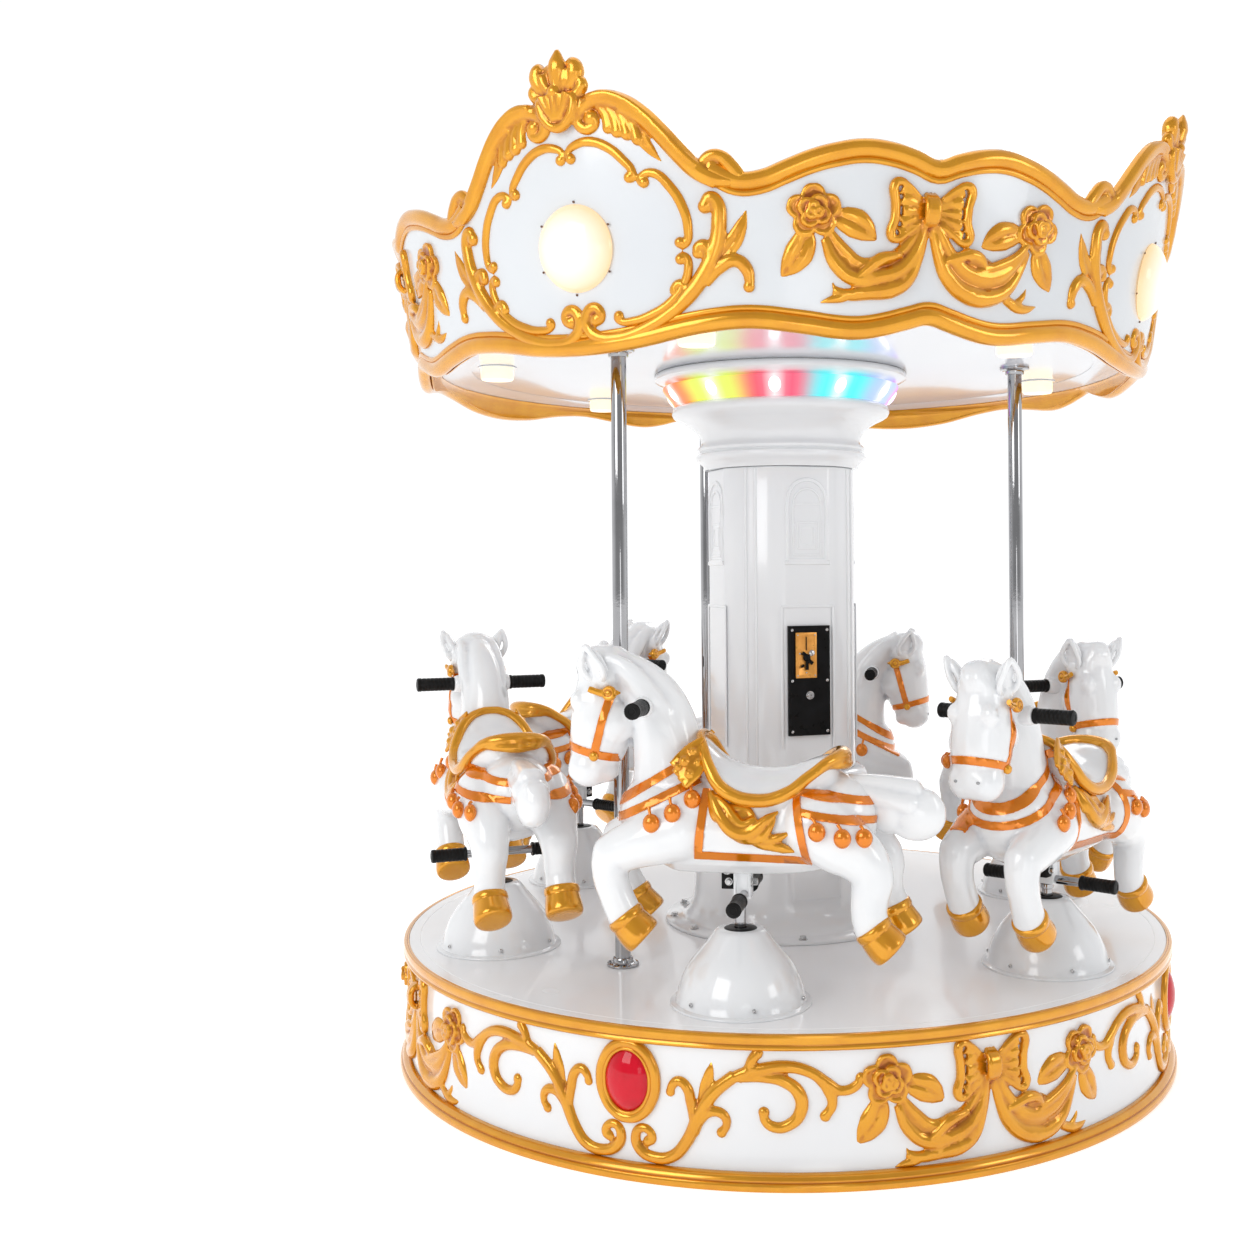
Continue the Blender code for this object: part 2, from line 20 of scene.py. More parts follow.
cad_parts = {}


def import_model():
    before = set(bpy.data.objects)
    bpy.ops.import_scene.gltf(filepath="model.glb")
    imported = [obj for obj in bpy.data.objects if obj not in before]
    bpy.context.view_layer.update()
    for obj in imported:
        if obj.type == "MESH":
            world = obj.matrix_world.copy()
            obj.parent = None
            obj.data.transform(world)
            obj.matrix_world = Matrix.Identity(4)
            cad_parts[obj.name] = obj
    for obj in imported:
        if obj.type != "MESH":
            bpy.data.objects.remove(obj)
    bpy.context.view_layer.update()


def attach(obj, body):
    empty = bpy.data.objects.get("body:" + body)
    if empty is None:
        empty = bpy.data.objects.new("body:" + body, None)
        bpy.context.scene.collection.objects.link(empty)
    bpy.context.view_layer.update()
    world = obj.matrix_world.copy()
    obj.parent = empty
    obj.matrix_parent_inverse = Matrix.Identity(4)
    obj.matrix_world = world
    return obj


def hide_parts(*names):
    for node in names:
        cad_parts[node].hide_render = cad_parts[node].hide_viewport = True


LOG = logging.getLogger("carousel")
Piece = bpy.types.Object
Spot = tuple[float, float]
Point = tuple[float, float, float]
Station = tuple[float, float, float, float]
Profile = Sequence[Spot]
ARC = math.pi / 180.0
QUARTER, SIXTH = 90.0, 60.0
BASE, TURNTABLE = "base", "turntable"

# Heights of what stands on the deck and hangs from the ceiling, and the hair that keeps two faces apart
ON_DECK, UNDER_CEILING, HAIR = 0.3424, 1.9436, 0.0004

# Angles above which edges stay sharp, on turned and on carved pieces, and how a lamp's glow falls off
TURNED_CREASE, CARVED_CREASE, GLOW_FALLOFF = 35.0, 60.0, 2.2


# Hand tools

def pick(*objects: Piece) -> Piece:
    """Select only these objects and make the last one active.

    Args:
        objects: what to select.

    Returns:
        The active object.
    """
    bpy.ops.object.select_all(action="DESELECT")
    for obj in objects:
        obj.select_set(True)
    bpy.context.view_layer.objects.active = objects[-1]
    return objects[-1]


@contextmanager
def editing(obj: Piece, mode: str = "VERT") -> Iterator[None]:
    """Open a mesh for editing with all of it selected, and close it afterwards.

    Args:
        obj: the mesh object.
        mode: VERT, EDGE or FACE.
    """
    pick(obj)
    bpy.ops.object.mode_set(mode="EDIT")
    bpy.ops.mesh.select_mode(type=mode)
    bpy.ops.mesh.select_all(action="SELECT")
    yield
    bpy.ops.object.mode_set(mode="OBJECT")


def select_faces(obj: Piece, wanted: Callable[[bmesh.types.BMFace], bool]) -> None:
    """Select the faces of an open mesh that pass a test, and nothing else.

    Args:
        obj: the mesh that is open for editing.
        wanted: says of a face whether it is to be selected.
    """
    bpy.ops.mesh.select_mode(type="FACE")
    bpy.ops.mesh.select_all(action="DESELECT")
    mesh = bmesh.from_edit_mesh(obj.data)
    for face in mesh.faces:
        if wanted(face):
            face.select_set(True)
    bmesh.update_edit_mesh(obj.data)


def discard(*objects: Piece) -> None:
    """Delete objects that only served as patterns."""
    pick(*objects)
    bpy.ops.object.delete()


def named(obj: Piece, name: str) -> Piece:
    """Name an object and its mesh, and return the object."""
    obj.name = obj.data.name = name
    return obj


def settle(obj: Piece) -> Piece:
    """Write an object's place, turn and size into its mesh, and return it."""
    pick(obj)
    bpy.ops.object.transform_apply(location=True, rotation=True, scale=True)
    return obj


def moved(obj: Piece, place: Sequence[float] = (0, 0, 0), turn: Sequence[float] = (0, 0, 0),
          size: Sequence[float] = (1, 1, 1)) -> Piece:
    """Size, turn and then shift a mesh about the origin.

    Args:
        obj: the mesh object.
        place: shift in metres.
        turn: turns about X, Y and Z in degrees.
        size: factors along X, Y and Z.

    Returns:
        The same object.
    """
    obj.scale = size
    obj.rotation_euler = [math.radians(angle) for angle in turn]
    obj.location = place
    return settle(obj)


def modify(obj: Piece, kind: str, **settings: object) -> Piece:
    """Add a modifier, set it and apply it.

    Args:
        obj: the mesh object.
        kind: Blender's name of the modifier.
        settings: the modifier's own values.

    Returns:
        The same object.
    """
    pick(obj)
    bpy.ops.object.modifier_add(type=kind)
    modifier = obj.modifiers[-1]
    for key, value in settings.items():
        setattr(modifier, key, value)
    bpy.ops.object.modifier_apply(modifier=modifier.name)
    return obj


def rounded(obj: Piece, width: float, segments: int = 2, degrees: float = 40.0) -> Piece:
    """Bevel the edges that are sharper than an angle, and return the object."""
    return modify(obj, "BEVEL", width=width, segments=segments, limit_method="ANGLE",
                  angle_limit=math.radians(degrees))


def mirrored(obj: Piece, across: str = "X") -> Piece:
    """Add the mirror image across the plane where X or Y is 0, and return the object."""
    return modify(obj, "MIRROR", use_axis=(across == "X", across == "Y", False), use_mirror_merge=False)


def joined(name: str, pieces: Sequence[Piece]) -> Piece:
    """Join pieces to one object.

    Args:
        name: name of the result.
        pieces: mesh objects.

    Returns:
        The joined object.
    """
    obj = pick(*pieces)
    if len(pieces) > 1:
        bpy.ops.object.join()
    return named(obj, name)


def copy_of(obj: Piece, name: str = "copy") -> Piece:
    """Duplicate an object with a mesh of its own, and return the copy."""
    pick(obj)
    bpy.ops.object.duplicate()
    return named(bpy.context.object, name)


def close_up(obj: Piece, merge: float = 1e-5) -> Piece:
    """Merge doubles, then turn every face outwards.

    Args:
        obj: the mesh object.
        merge: distance under which points become one.

    Returns:
        The same object.
    """
    with editing(obj):
        bpy.ops.mesh.remove_doubles(threshold=merge)
        bpy.ops.mesh.normals_make_consistent(inside=False)
    return obj


def line(points: Sequence[Point]) -> Piece:
    """Draw an open line of edges, each point extruded from the one before.

    Args:
        points: the corners.

    Returns:
        A mesh object of edges.
    """
    bpy.ops.object.select_all(action="DESELECT")
    bpy.ops.mesh.primitive_plane_add(size=0.001, location=points[0])
    obj = settle(bpy.context.object)
    with editing(obj):
        bpy.ops.mesh.merge(type="CENTER")
        for start, end in zip(points, points[1:]):
            step = tuple(b - a for a, b in zip(start, end))
            bpy.ops.mesh.extrude_region_move(TRANSFORM_OT_translate={"value": step})
    return obj


def turned(name: str, profile: Profile, steps: int) -> Piece:
    """Spin an outline of (radius, height) points about +Z.

    Args:
        name: name of the piece.
        profile: the outline, closed by repeating its first point where it doesn't end on the axis.
        steps: how many steps go round.

    Returns:
        The turned piece.
    """
    obj = line([(0.0, -radius, height) for radius, height in profile])
    with editing(obj):
        bpy.ops.mesh.spin(steps=steps, angle=math.radians(360.0), use_auto_merge=True,
                          center=(0, 0, 0), axis=(0, 0, 1))
    return close_up(named(obj, name))


def tube(points: Sequence[Station], sides: int = 3, fine: int = 5, ring: bool = False) -> Piece:
    """Sweep a round section of changing radius along a smooth curve.

    Args:
        points: x, y, z and radius at each point of the curve.
        sides: bevel resolution of the section.
        fine: steps between two points.
        ring: whether the curve closes on itself.

    Returns:
        The swept mesh.
    """
    bpy.ops.object.select_all(action="DESELECT")
    bpy.ops.curve.primitive_bezier_curve_add(location=(0, 0, 0))
    obj = bpy.context.object
    bpy.ops.object.mode_set(mode="EDIT")
    bpy.ops.curve.select_all(action="SELECT")
    bpy.ops.curve.delete(type="VERT")
    for x, y, z, radius in points:
        bpy.ops.curve.vertex_add(location=(x, y, z))
        bpy.ops.curve.radius_set(radius=radius)
    bpy.ops.curve.select_all(action="SELECT")
    bpy.ops.curve.handle_type_set(type="AUTOMATIC")
    if ring:
        bpy.ops.curve.cyclic_toggle()
    bpy.ops.object.mode_set(mode="OBJECT")
    shape = obj.data
    shape.bevel_depth = 1.0
    shape.bevel_resolution = sides
    shape.resolution_u = fine
    shape.use_fill_caps = not ring
    bpy.ops.object.convert(target="MESH")
    return bpy.context.object


def ball(place: Point, size: Point, fine: int = 24, tilt: float = 0.0) -> Piece:
    """Add an ellipsoid.

    Args:
        place: its middle.
        size: its three half sizes.
        fine: how many segments it has.
        tilt: its turn about X in degrees.

    Returns:
        The ellipsoid.
    """
    bpy.ops.object.select_all(action="DESELECT")
    bpy.ops.mesh.primitive_uv_sphere_add(segments=fine, ring_count=fine // 2 + 2, radius=1.0)
    return moved(bpy.context.object, place, (tilt, 0, 0), size)


def slab(place: Point, size: Point) -> Piece:
    """Add a box with its middle at a place.

    Args:
        place: its middle.
        size: its three sizes.

    Returns:
        The box.
    """
    bpy.ops.object.select_all(action="DESELECT")
    bpy.ops.mesh.primitive_cube_add(size=1.0)
    return moved(bpy.context.object, place, size=size)


def relief(points: Sequence[Point], depth: float = 0.8, fine: int = 5, sides: int = 3) -> Piece:
    """Sweep a scroll on a flat wall.

    Args:
        points: x, z and radius along the scroll.
        depth: how far it stands out, as a share of its radius.
        fine: steps between two points.
        sides: bevel resolution of the section.

    Returns:
        The scroll, half sunk in the wall plane.
    """
    piece = tube([(x, 0.0, z, radius) for x, z, radius in points], sides, fine)
    return moved(piece, size=(1, depth, 1))


def boss(x: float, z: float, wide: float, high: float = 0.0, out: float = 0.0, sink: float = 0.0) -> Piece:
    """A rounded button on a flat wall.

    Args:
        x: place along the wall.
        z: height of its middle.
        wide: half its width.
        high: half its height, or 0 for round.
        out: half its thickness, or 0 for eight tenths of its half width.
        sink: how far its middle stands before the wall.

    Returns:
        The button.
    """
    return ball((x, -sink, z), (wide, out or wide * 0.8, high or wide), 16)


def leaf(root: Spot, tip: Spot, wide: float, sag: float = 0.0) -> list[Piece]:
    """A pointed leaf of two swollen halves with a vein between them.

    Args:
        root: x and z of its root.
        tip: x and z of its tip.
        wide: half its width.
        sag: how far its middle bows to the left of the line from root to tip.

    Returns:
        The two halves.
    """
    start, end = Vector(root), Vector(tip)
    along = end - start
    left = Vector((-along.y, along.x)).normalized()
    halves = []
    for side in (-1, 1):
        path = []
        for share, girth in ((0.0, 0.25), (0.22, 0.8), (0.48, 1.0), (0.74, 0.72), (0.92, 0.3), (1.0, 0.06)):
            spread = side * wide * 0.46 * girth
            spot = start + along * share + left * (spread + sag * math.sin(math.pi * share))
            path.append((spot.x, spot.y, wide * 0.62 * girth))
        halves.append(relief(path, 0.62))
    return halves


def thinned(obj: Piece, budget: int) -> Piece:
    """Reduce a mesh to about so many triangles where it has more.

    Args:
        obj: the mesh object.
        budget: triangles that it may keep.

    Returns:
        The same object.
    """
    share = budget / sum(len(face.vertices) - 2 for face in obj.data.polygons)
    return modify(obj, "DECIMATE", ratio=share) if share < 1.0 else obj


def carved(name: str, parts: Sequence[Piece], grain: float = 0.0026, rounds: int = 3,
           budget: int = 20000) -> Piece:
    """Fuse overlapping shapes into one carved skin.

    Args:
        name: name of the piece.
        parts: the shapes.
        grain: voxel size.
        rounds: how often the skin is smoothed.
        budget: about how many triangles it may have in the end.

    Returns:
        The carved piece.
    """
    obj = joined(name, parts)
    modify(obj, "REMESH", mode="VOXEL", voxel_size=grain, use_smooth_shade=True)
    if rounds:
        modify(obj, "SMOOTH", factor=0.5, iterations=rounds)
    return thinned(obj, budget)


def trimmed(obj: Piece, spot: Point, normal: Point) -> Piece:
    """Cut away what lies beyond a plane and close the cut.

    Args:
        obj: the mesh object.
        spot: a point of the plane.
        normal: direction that is cut away.

    Returns:
        The same object.
    """
    with editing(obj):
        bpy.ops.mesh.bisect(plane_co=spot, plane_no=normal, use_fill=True, clear_outer=True)
    return close_up(obj, 1e-6)


def wrap(obj: Piece, radius: float, lean: float = 0.0, height: float = 0.0) -> Piece:
    """Bend a flat piece round a wall, at azimuth 0.

    Args:
        obj: the piece, with X along the wall and -Y outwards.
        radius: radius of the wall at the height.
        lean: how much the wall's radius grows for each metre up.
        height: height at which the radius counts.

    Returns:
        The same object.
    """
    if lean:
        tilt = math.atan(lean)
        moved(obj, (0, 0, -height))
        moved(obj, (0, 0, height), (math.degrees(tilt), 0, 0), (1, 1, 1 / math.cos(tilt)))
    xs = [vertex.co.x for vertex in obj.data.vertices]
    modify(obj, "SIMPLE_DEFORM", deform_method="BEND", deform_axis="Z", angle=(max(xs) - min(xs)) / radius)
    return moved(obj, (0, -radius, 0))


def at_azimuth(radius: float, azimuth: float, height: float = 0.0) -> Point:
    """Return the point at a radius, an azimuth and a height."""
    angle = math.radians(azimuth)
    return (radius * math.sin(angle), -radius * math.cos(angle), height)


def smooth_between(knots: Profile, place: float) -> float:
    """Read a curve through knots without corners.

    Args:
        knots: rising places with their values.
        place: where to read.

    Returns:
        The value there.
    """
    index = max(1, min(len(knots) - 1, next((i for i, k in enumerate(knots) if k[0] >= place), 1)))
    (x0, y0), (x1, y1) = knots[index - 1], knots[index]
    before = knots[index - 2] if index > 1 else (-knots[1][0], knots[1][1])
    after = knots[index + 1] if index + 1 < len(knots) else (2 * x1 - x0, y0)
    slope0 = (y1 - before[1]) / (x1 - before[0])
    slope1 = (after[1] - y0) / (after[0] - x0)
    step = x1 - x0
    t = (place - x0) / step
    return ((2 * t ** 3 - 3 * t ** 2 + 1) * y0 + (t ** 3 - 2 * t ** 2 + t) * step * slope0
            + (3 * t ** 2 - 2 * t ** 3) * y1 + (t ** 3 - t ** 2) * step * slope1)


# Finishes

class Slot(Enum):
    """The record's material slots."""

    WHITE = "white_fibreglass"
    GOLD = "gold_paint"
    STONE = "red_stone"
    CHROME = "chrome"
    PANEL = "black_panel"
    LAMP = "lamp_glass"
    STEEL = "steel_frame"


@dataclass(frozen=True)
class Finish:
    """A finish with a faint unevenness of colour, gloss and surface, as real paint and metal have, and,
    where it has a hollow colour, painted shade that darkens its hollows and creases.
    """

    name: str
    slot: Slot
    colour: Point
    shade: Point
    roughness: float
    metallic: float = 0.0
    coat: float = 0.0
    grain: float = 6.0
    waves: float = 60.0
    relief: float = 0.04
    glow: Point | None = None
    power: float = 0.0
    specular: float = 0.5
    # Colour that hollows and creases darken to, as painted shade.
    hollow: Point | None = None

    def material(self) -> bpy.types.Material:
        """Build the Blender material on first use.

        Returns:
            The material.
        """
        made = bpy.data.materials.get(self.name)
        if made:
            return made
        made = bpy.data.materials.new(self.name)
        made.use_nodes = True
        tree = made.node_tree
        shader = tree.nodes["Principled BSDF"]
        shader.inputs["Metallic"].default_value = self.metallic
        shader.inputs["Coat Weight"].default_value = self.coat
        shader.inputs["Coat Roughness"].default_value = 0.06
        shader.inputs["Specular IOR Level"].default_value = self.specular
        clouds = self.noise(tree, self.grain, 3.0)
        colour = tree.nodes.new("ShaderNodeMix")
        colour.data_type = "RGBA"
        colour.inputs[6].default_value = (*self.colour, 1)
        colour.inputs[7].default_value = (*self.shade, 1)
        tree.links.new(self.spread(tree, clouds, 0.38, 0.68, 0.0, 1.0), colour.inputs[0])
        paint = colour.outputs[2]
        # Painted shade: the colour darkens where Pointiness is low, in hollows and creases.
        if self.hollow:
            curve = tree.nodes.new("ShaderNodeNewGeometry")
            hollow_shade_mix = tree.nodes.new("ShaderNodeMix")
            hollow_shade_mix.data_type = "RGBA"
            hollow_shade_mix.inputs[7].default_value = (*self.hollow, 1)
            tree.links.new(paint, hollow_shade_mix.inputs[6])
            tree.links.new(self.spread(tree, curve.outputs["Pointiness"], 0.445, 0.505, 1.0, 0.0),
                           hollow_shade_mix.inputs[0])
            paint = hollow_shade_mix.outputs[2]
        tree.links.new(paint, shader.inputs["Base Color"])
        gloss = self.spread(tree, clouds, 0.3, 0.7, self.roughness * 0.85, self.roughness * 1.25)
        tree.links.new(gloss, shader.inputs["Roughness"])
        bump = tree.nodes.new("ShaderNodeBump")
        bump.inputs["Strength"].default_value = self.relief
        bump.inputs["Distance"].default_value = 0.004
        tree.links.new(self.noise(tree, self.waves, 2.0), bump.inputs["Height"])
        tree.links.new(bump.outputs[0], shader.inputs["Normal"])
        if self.glow:
            shader.inputs["Emission Color"].default_value = (*self.glow, 1)
            shader.inputs["Emission Strength"].default_value = self.power
        return made

    def noise(self, tree: bpy.types.NodeTree, scale: float, detail: float) -> bpy.types.NodeSocket:
        """Add a noise on object coordinates.

        Args:
            tree: the material's nodes.
            scale: how fine it is.
            detail: how many octaves.

        Returns:
            Its factor.
        """
        place = tree.nodes.new("ShaderNodeTexCoord")
        noise = tree.nodes.new("ShaderNodeTexNoise")
        noise.inputs["Scale"].default_value = scale
        noise.inputs["Detail"].default_value = detail
        tree.links.new(place.outputs["Object"], noise.inputs["Vector"])
        return noise.outputs[0]

    @staticmethod
    def spread(tree: bpy.types.NodeTree, value: bpy.types.NodeSocket, low: float, high: float,
               to_low: float, to_high: float) -> bpy.types.NodeSocket:
        """Map a value from one range to another.

        Args:
            tree: the material's nodes.
            value: the value.
            low: its lowest reading.
            high: its highest reading.
            to_low: what the lowest becomes.
            to_high: what the highest becomes.

        Returns:
            The mapped value.
        """
        ranged = tree.nodes.new("ShaderNodeMapRange")
        for index, number in enumerate((low, high, to_low, to_high), 1):
            ranged.inputs[index].default_value = number
        tree.links.new(value, ranged.inputs[0])
        return ranged.outputs[0]


@dataclass(frozen=True)
class LampGlow(Finish):
    """Lamp glass that is white in the middle and warmer towards its rim, by the piece's glow attribute."""

    def material(self) -> bpy.types.Material:
        """Build the Blender material on first use.

        Returns:
            The material.
        """
        made = bpy.data.materials.get(self.name)
        if made:
            return made
        made = super().material()
        tree = made.node_tree
        shader = tree.nodes["Principled BSDF"]
        tint = tree.nodes.new("ShaderNodeAttribute")
        tint.attribute_name = "glow"
        tree.links.new(tint.outputs["Color"], shader.inputs["Emission Color"])
        return made


WHITE = Finish("white gelcoat", Slot.WHITE, (0.82, 0.835, 0.85), (0.79, 0.805, 0.825), 0.16, coat=0.6,
               grain=3.0, waves=18.0, relief=0.05)
# The horse's white darkens in its hollows and creases: painted shade.
HORSE_WHITE = Finish("horse enamel", Slot.WHITE, (0.84, 0.85, 0.86), (0.8, 0.815, 0.83), 0.18, coat=0.7,
                     grain=9.0, waves=26.0, relief=0.05, hollow=(0.6, 0.62, 0.66))
# Painted light: the same white gelcoat made paler, to brighten the deck in the canopy's shade.
DECK_LIT_WHITE = Finish("deck gelcoat painted light", Slot.WHITE, (0.9, 0.905, 0.92), (0.87, 0.88, 0.895), 0.22, coat=0.4,
                    grain=2.0, waves=14.0, relief=0.03)
# Painted shade: the same white gelcoat made darker, so that the fascia's lit face reads shaded.
FASCIA_SHADED_WHITE = Finish("fascia gelcoat painted shade", Slot.WHITE, (0.66, 0.685, 0.71), (0.635, 0.66, 0.69), 0.2, coat=0.4,
                      grain=3.0, waves=14.0, relief=0.04)
# Painted shade: the same white made darker and bluer, as the ceiling looks in the canopy's shade.
CEILING_SHADED_WHITE = Finish("ceiling enamel painted shade", Slot.WHITE, (0.73, 0.75, 0.8), (0.7, 0.72, 0.78), 0.16, coat=0.5,
                       grain=2.0, waves=5.0, relief=0.03)
# The gold darkens to deep brown in its hollows and creases: painted shade.
GOLD = Finish("gold enamel", Slot.GOLD, (0.74, 0.33, 0.011), (0.68, 0.28, 0.008), 0.17, metallic=0.55,
              coat=0.5, grain=16.0, waves=60.0, relief=0.03, hollow=(0.36, 0.085, 0.001))
HARNESS_GOLD = Finish("harness gold", Slot.GOLD, (0.78, 0.225, 0.004), (0.72, 0.19, 0.003), 0.16,
                      metallic=0.45, coat=0.5, grain=14.0, waves=50.0, relief=0.02)
RED = Finish("red stone", Slot.STONE, (0.64, 0.001, 0.018), (0.5, 0.0, 0.01), 0.05, coat=0.1, grain=14.0,
             waves=12.0, relief=0.03, specular=0.35)
CHROME = Finish("polished chrome", Slot.CHROME, (0.42, 0.42, 0.43), (0.35, 0.35, 0.36), 0.05, metallic=1.0,
                grain=9.0, waves=90.0, relief=0.01)
STEEL_SCREW = Finish("screw steel", Slot.CHROME, (0.6, 0.6, 0.6), (0.46, 0.46, 0.46), 0.22, metallic=1.0,
                     grain=60.0)
BRONZE = Finish("bronze screw", Slot.CHROME, (0.16, 0.075, 0.045), (0.11, 0.05, 0.03), 0.35, metallic=0.5,
                grain=60.0)
RUBBER = Finish("black rubber", Slot.PANEL, (0.006, 0.006, 0.006), (0.012, 0.012, 0.012), 0.34, grain=40.0,
                waves=420.0, relief=0.06, specular=0.13)
PANEL = Finish("black panel", Slot.PANEL, (0.005, 0.005, 0.005), (0.008, 0.008, 0.009), 0.3, grain=20.0,
               waves=300.0, relief=0.02, specular=0.12)
BRASS = Finish("coin brass", Slot.GOLD, (0.86, 0.4, 0.085), (0.76, 0.33, 0.065), 0.3, metallic=0.5,
               grain=50.0, waves=160.0, relief=0.03)
LAMP = LampGlow("lamp glass", Slot.LAMP, (0.32, 0.31, 0.29), (0.28, 0.27, 0.25), 0.22, coat=0.3,
                glow=(1.0, 0.85, 0.6), power=0.85)
STEEL = Finish("painted steel", Slot.STEEL, (0.2, 0.21, 0.22), (0.15, 0.16, 0.17), 0.5, metallic=0.6)


def lamp_colour(name: str, colour: Point, power: float) -> Finish:
    """Make the finish of a lamp that glows in one colour.

    Args:
        name: name of the finish.
        colour: its light.
        power: how strongly it glows.

    Returns:
        The finish.
    """
    pale = tuple(0.1 + 0.22 * part for part in colour)
    return Finish(name, Slot.LAMP, pale, pale, 0.25, glow=colour, power=power)


def dress(obj: Piece, finish: Finish, body: str, node: str = "", crease: float = TURNED_CREASE) -> None:
    """Give a finished piece its finish, its shading, its body and the CAD node that it stands for.

    Args:
        obj: the piece, in place.
        finish: its finish.
        body: the CAD body that it moves with.
        node: the CAD node that it replaces, if any.
        crease: angle in degrees above which edges stay sharp.
    """
    obj.data.materials.clear()
    obj.data.materials.append(finish.material())
    pick(obj)
    bpy.ops.object.shade_smooth_by_angle(angle=math.radians(crease))
    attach(obj, body)
    if node:
        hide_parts(node)
    LOG.info("%s: %d faces on %s", obj.name, len(obj.data.polygons), body)


def glowing(obj: Piece, middle: Point, rim: Point, measure: Callable[[Vector], float]) -> None:
    """Paint a lamp's glow from its middle to its rim into the glow attribute.

    Args:
        obj: the lamp.
        middle: light colour in the middle.
        rim: light colour at the rim.
        measure: share of the way from the middle to the rim for a point.
    """
    layer = obj.data.color_attributes.new("glow", "FLOAT_COLOR", "POINT")
    for vertex, paint in zip(obj.data.vertices, layer.data):
        share = min(1.0, max(0.0, measure(vertex.co))) ** GLOW_FALLOFF
        paint.color = (*(a + (b - a) * share for a, b in zip(middle, rim)), 1.0)


def around(obj: Piece, names: Sequence[str], first: float, step: float) -> list[Piece]:
    """Copy a piece round the axis.

    Args:
        obj: the piece at azimuth 0, which becomes the first one.
        names: a name for each.
        first: azimuth of the first.
        step: degrees between two.

    Returns:
        The pieces, each with its own mesh.
    """
    pieces = [obj] + [copy_of(obj) for _ in names[1:]]
    for index, (piece, name) in enumerate(zip(pieces, names)):
        moved(piece, turn=(0, 0, first + step * index))
        named(piece, name)
    return pieces


def four(obj: Piece, name: str, turn: float, finish: Finish, body: str, node: str = "",
         crease: float = TURNED_CREASE) -> None:
    """Copy a piece to the four quarters and dress all four.

    Args:
        obj: the piece at azimuth 0.
        name: name of the pieces, without their number.
        turn: azimuth of the first.
        finish: their finish.
        body: the CAD body that they move with.
        node: name of the CAD nodes that they replace, without the number, if any.
        crease: angle in degrees above which edges stay sharp.
    """
    for number, piece in enumerate(around(obj, [f"{name}_{n}" for n in range(1, 5)], turn, QUARTER), 1):
        dress(piece, finish, body, f"{node}_{number}" if node else "", crease)


def screw(radius: float, rise: float) -> Piece:
    """A domed screw head with a cross slot, standing on the plane y = 0 and facing -Y.

    Args:
        radius: radius of the head.
        rise: how far it stands out.

    Returns:
        The head.
    """
    bpy.ops.object.select_all(action="DESELECT")
    bpy.ops.mesh.primitive_cylinder_add(vertices=16, radius=radius, depth=rise)
    head = moved(bpy.context.object, (0, 0, rise / 2))
    with editing(head):
        select_faces(head, lambda face: face.normal.z > 0.9)
        bpy.ops.mesh.inset(thickness=radius * 0.35, depth=rise * 0.35)
        bpy.ops.mesh.inset(thickness=radius * 0.3, depth=0)
        bpy.ops.mesh.inset(thickness=radius * 0.05, depth=-rise * 0.8)
    return moved(close_up(head), turn=(90, 0, 0))


def nut(radius: float, rise: float) -> Piece:
    """A hexagon head on a washer, standing on z = 0.

    Args:
        radius: radius over its corners.
        rise: height of the hexagon.

    Returns:
        The head.
    """
    washer = turned("washer", [(0, 0), (radius * 1.35, 0), (radius * 1.35, rise * 0.18),
                               (radius * 1.25, rise * 0.25), (0, rise * 0.25)], 20)
    bpy.ops.object.select_all(action="DESELECT")
    bpy.ops.mesh.primitive_cylinder_add(vertices=6, radius=radius, depth=rise)
    head = moved(bpy.context.object, (0, 0, rise * 0.7))
    with editing(head):
        select_faces(head, lambda face: face.normal.z > 0.9)
        bpy.ops.mesh.inset(thickness=radius * 0.16, depth=rise * 0.14)
    return joined("nut", [washer, head])


# Studio

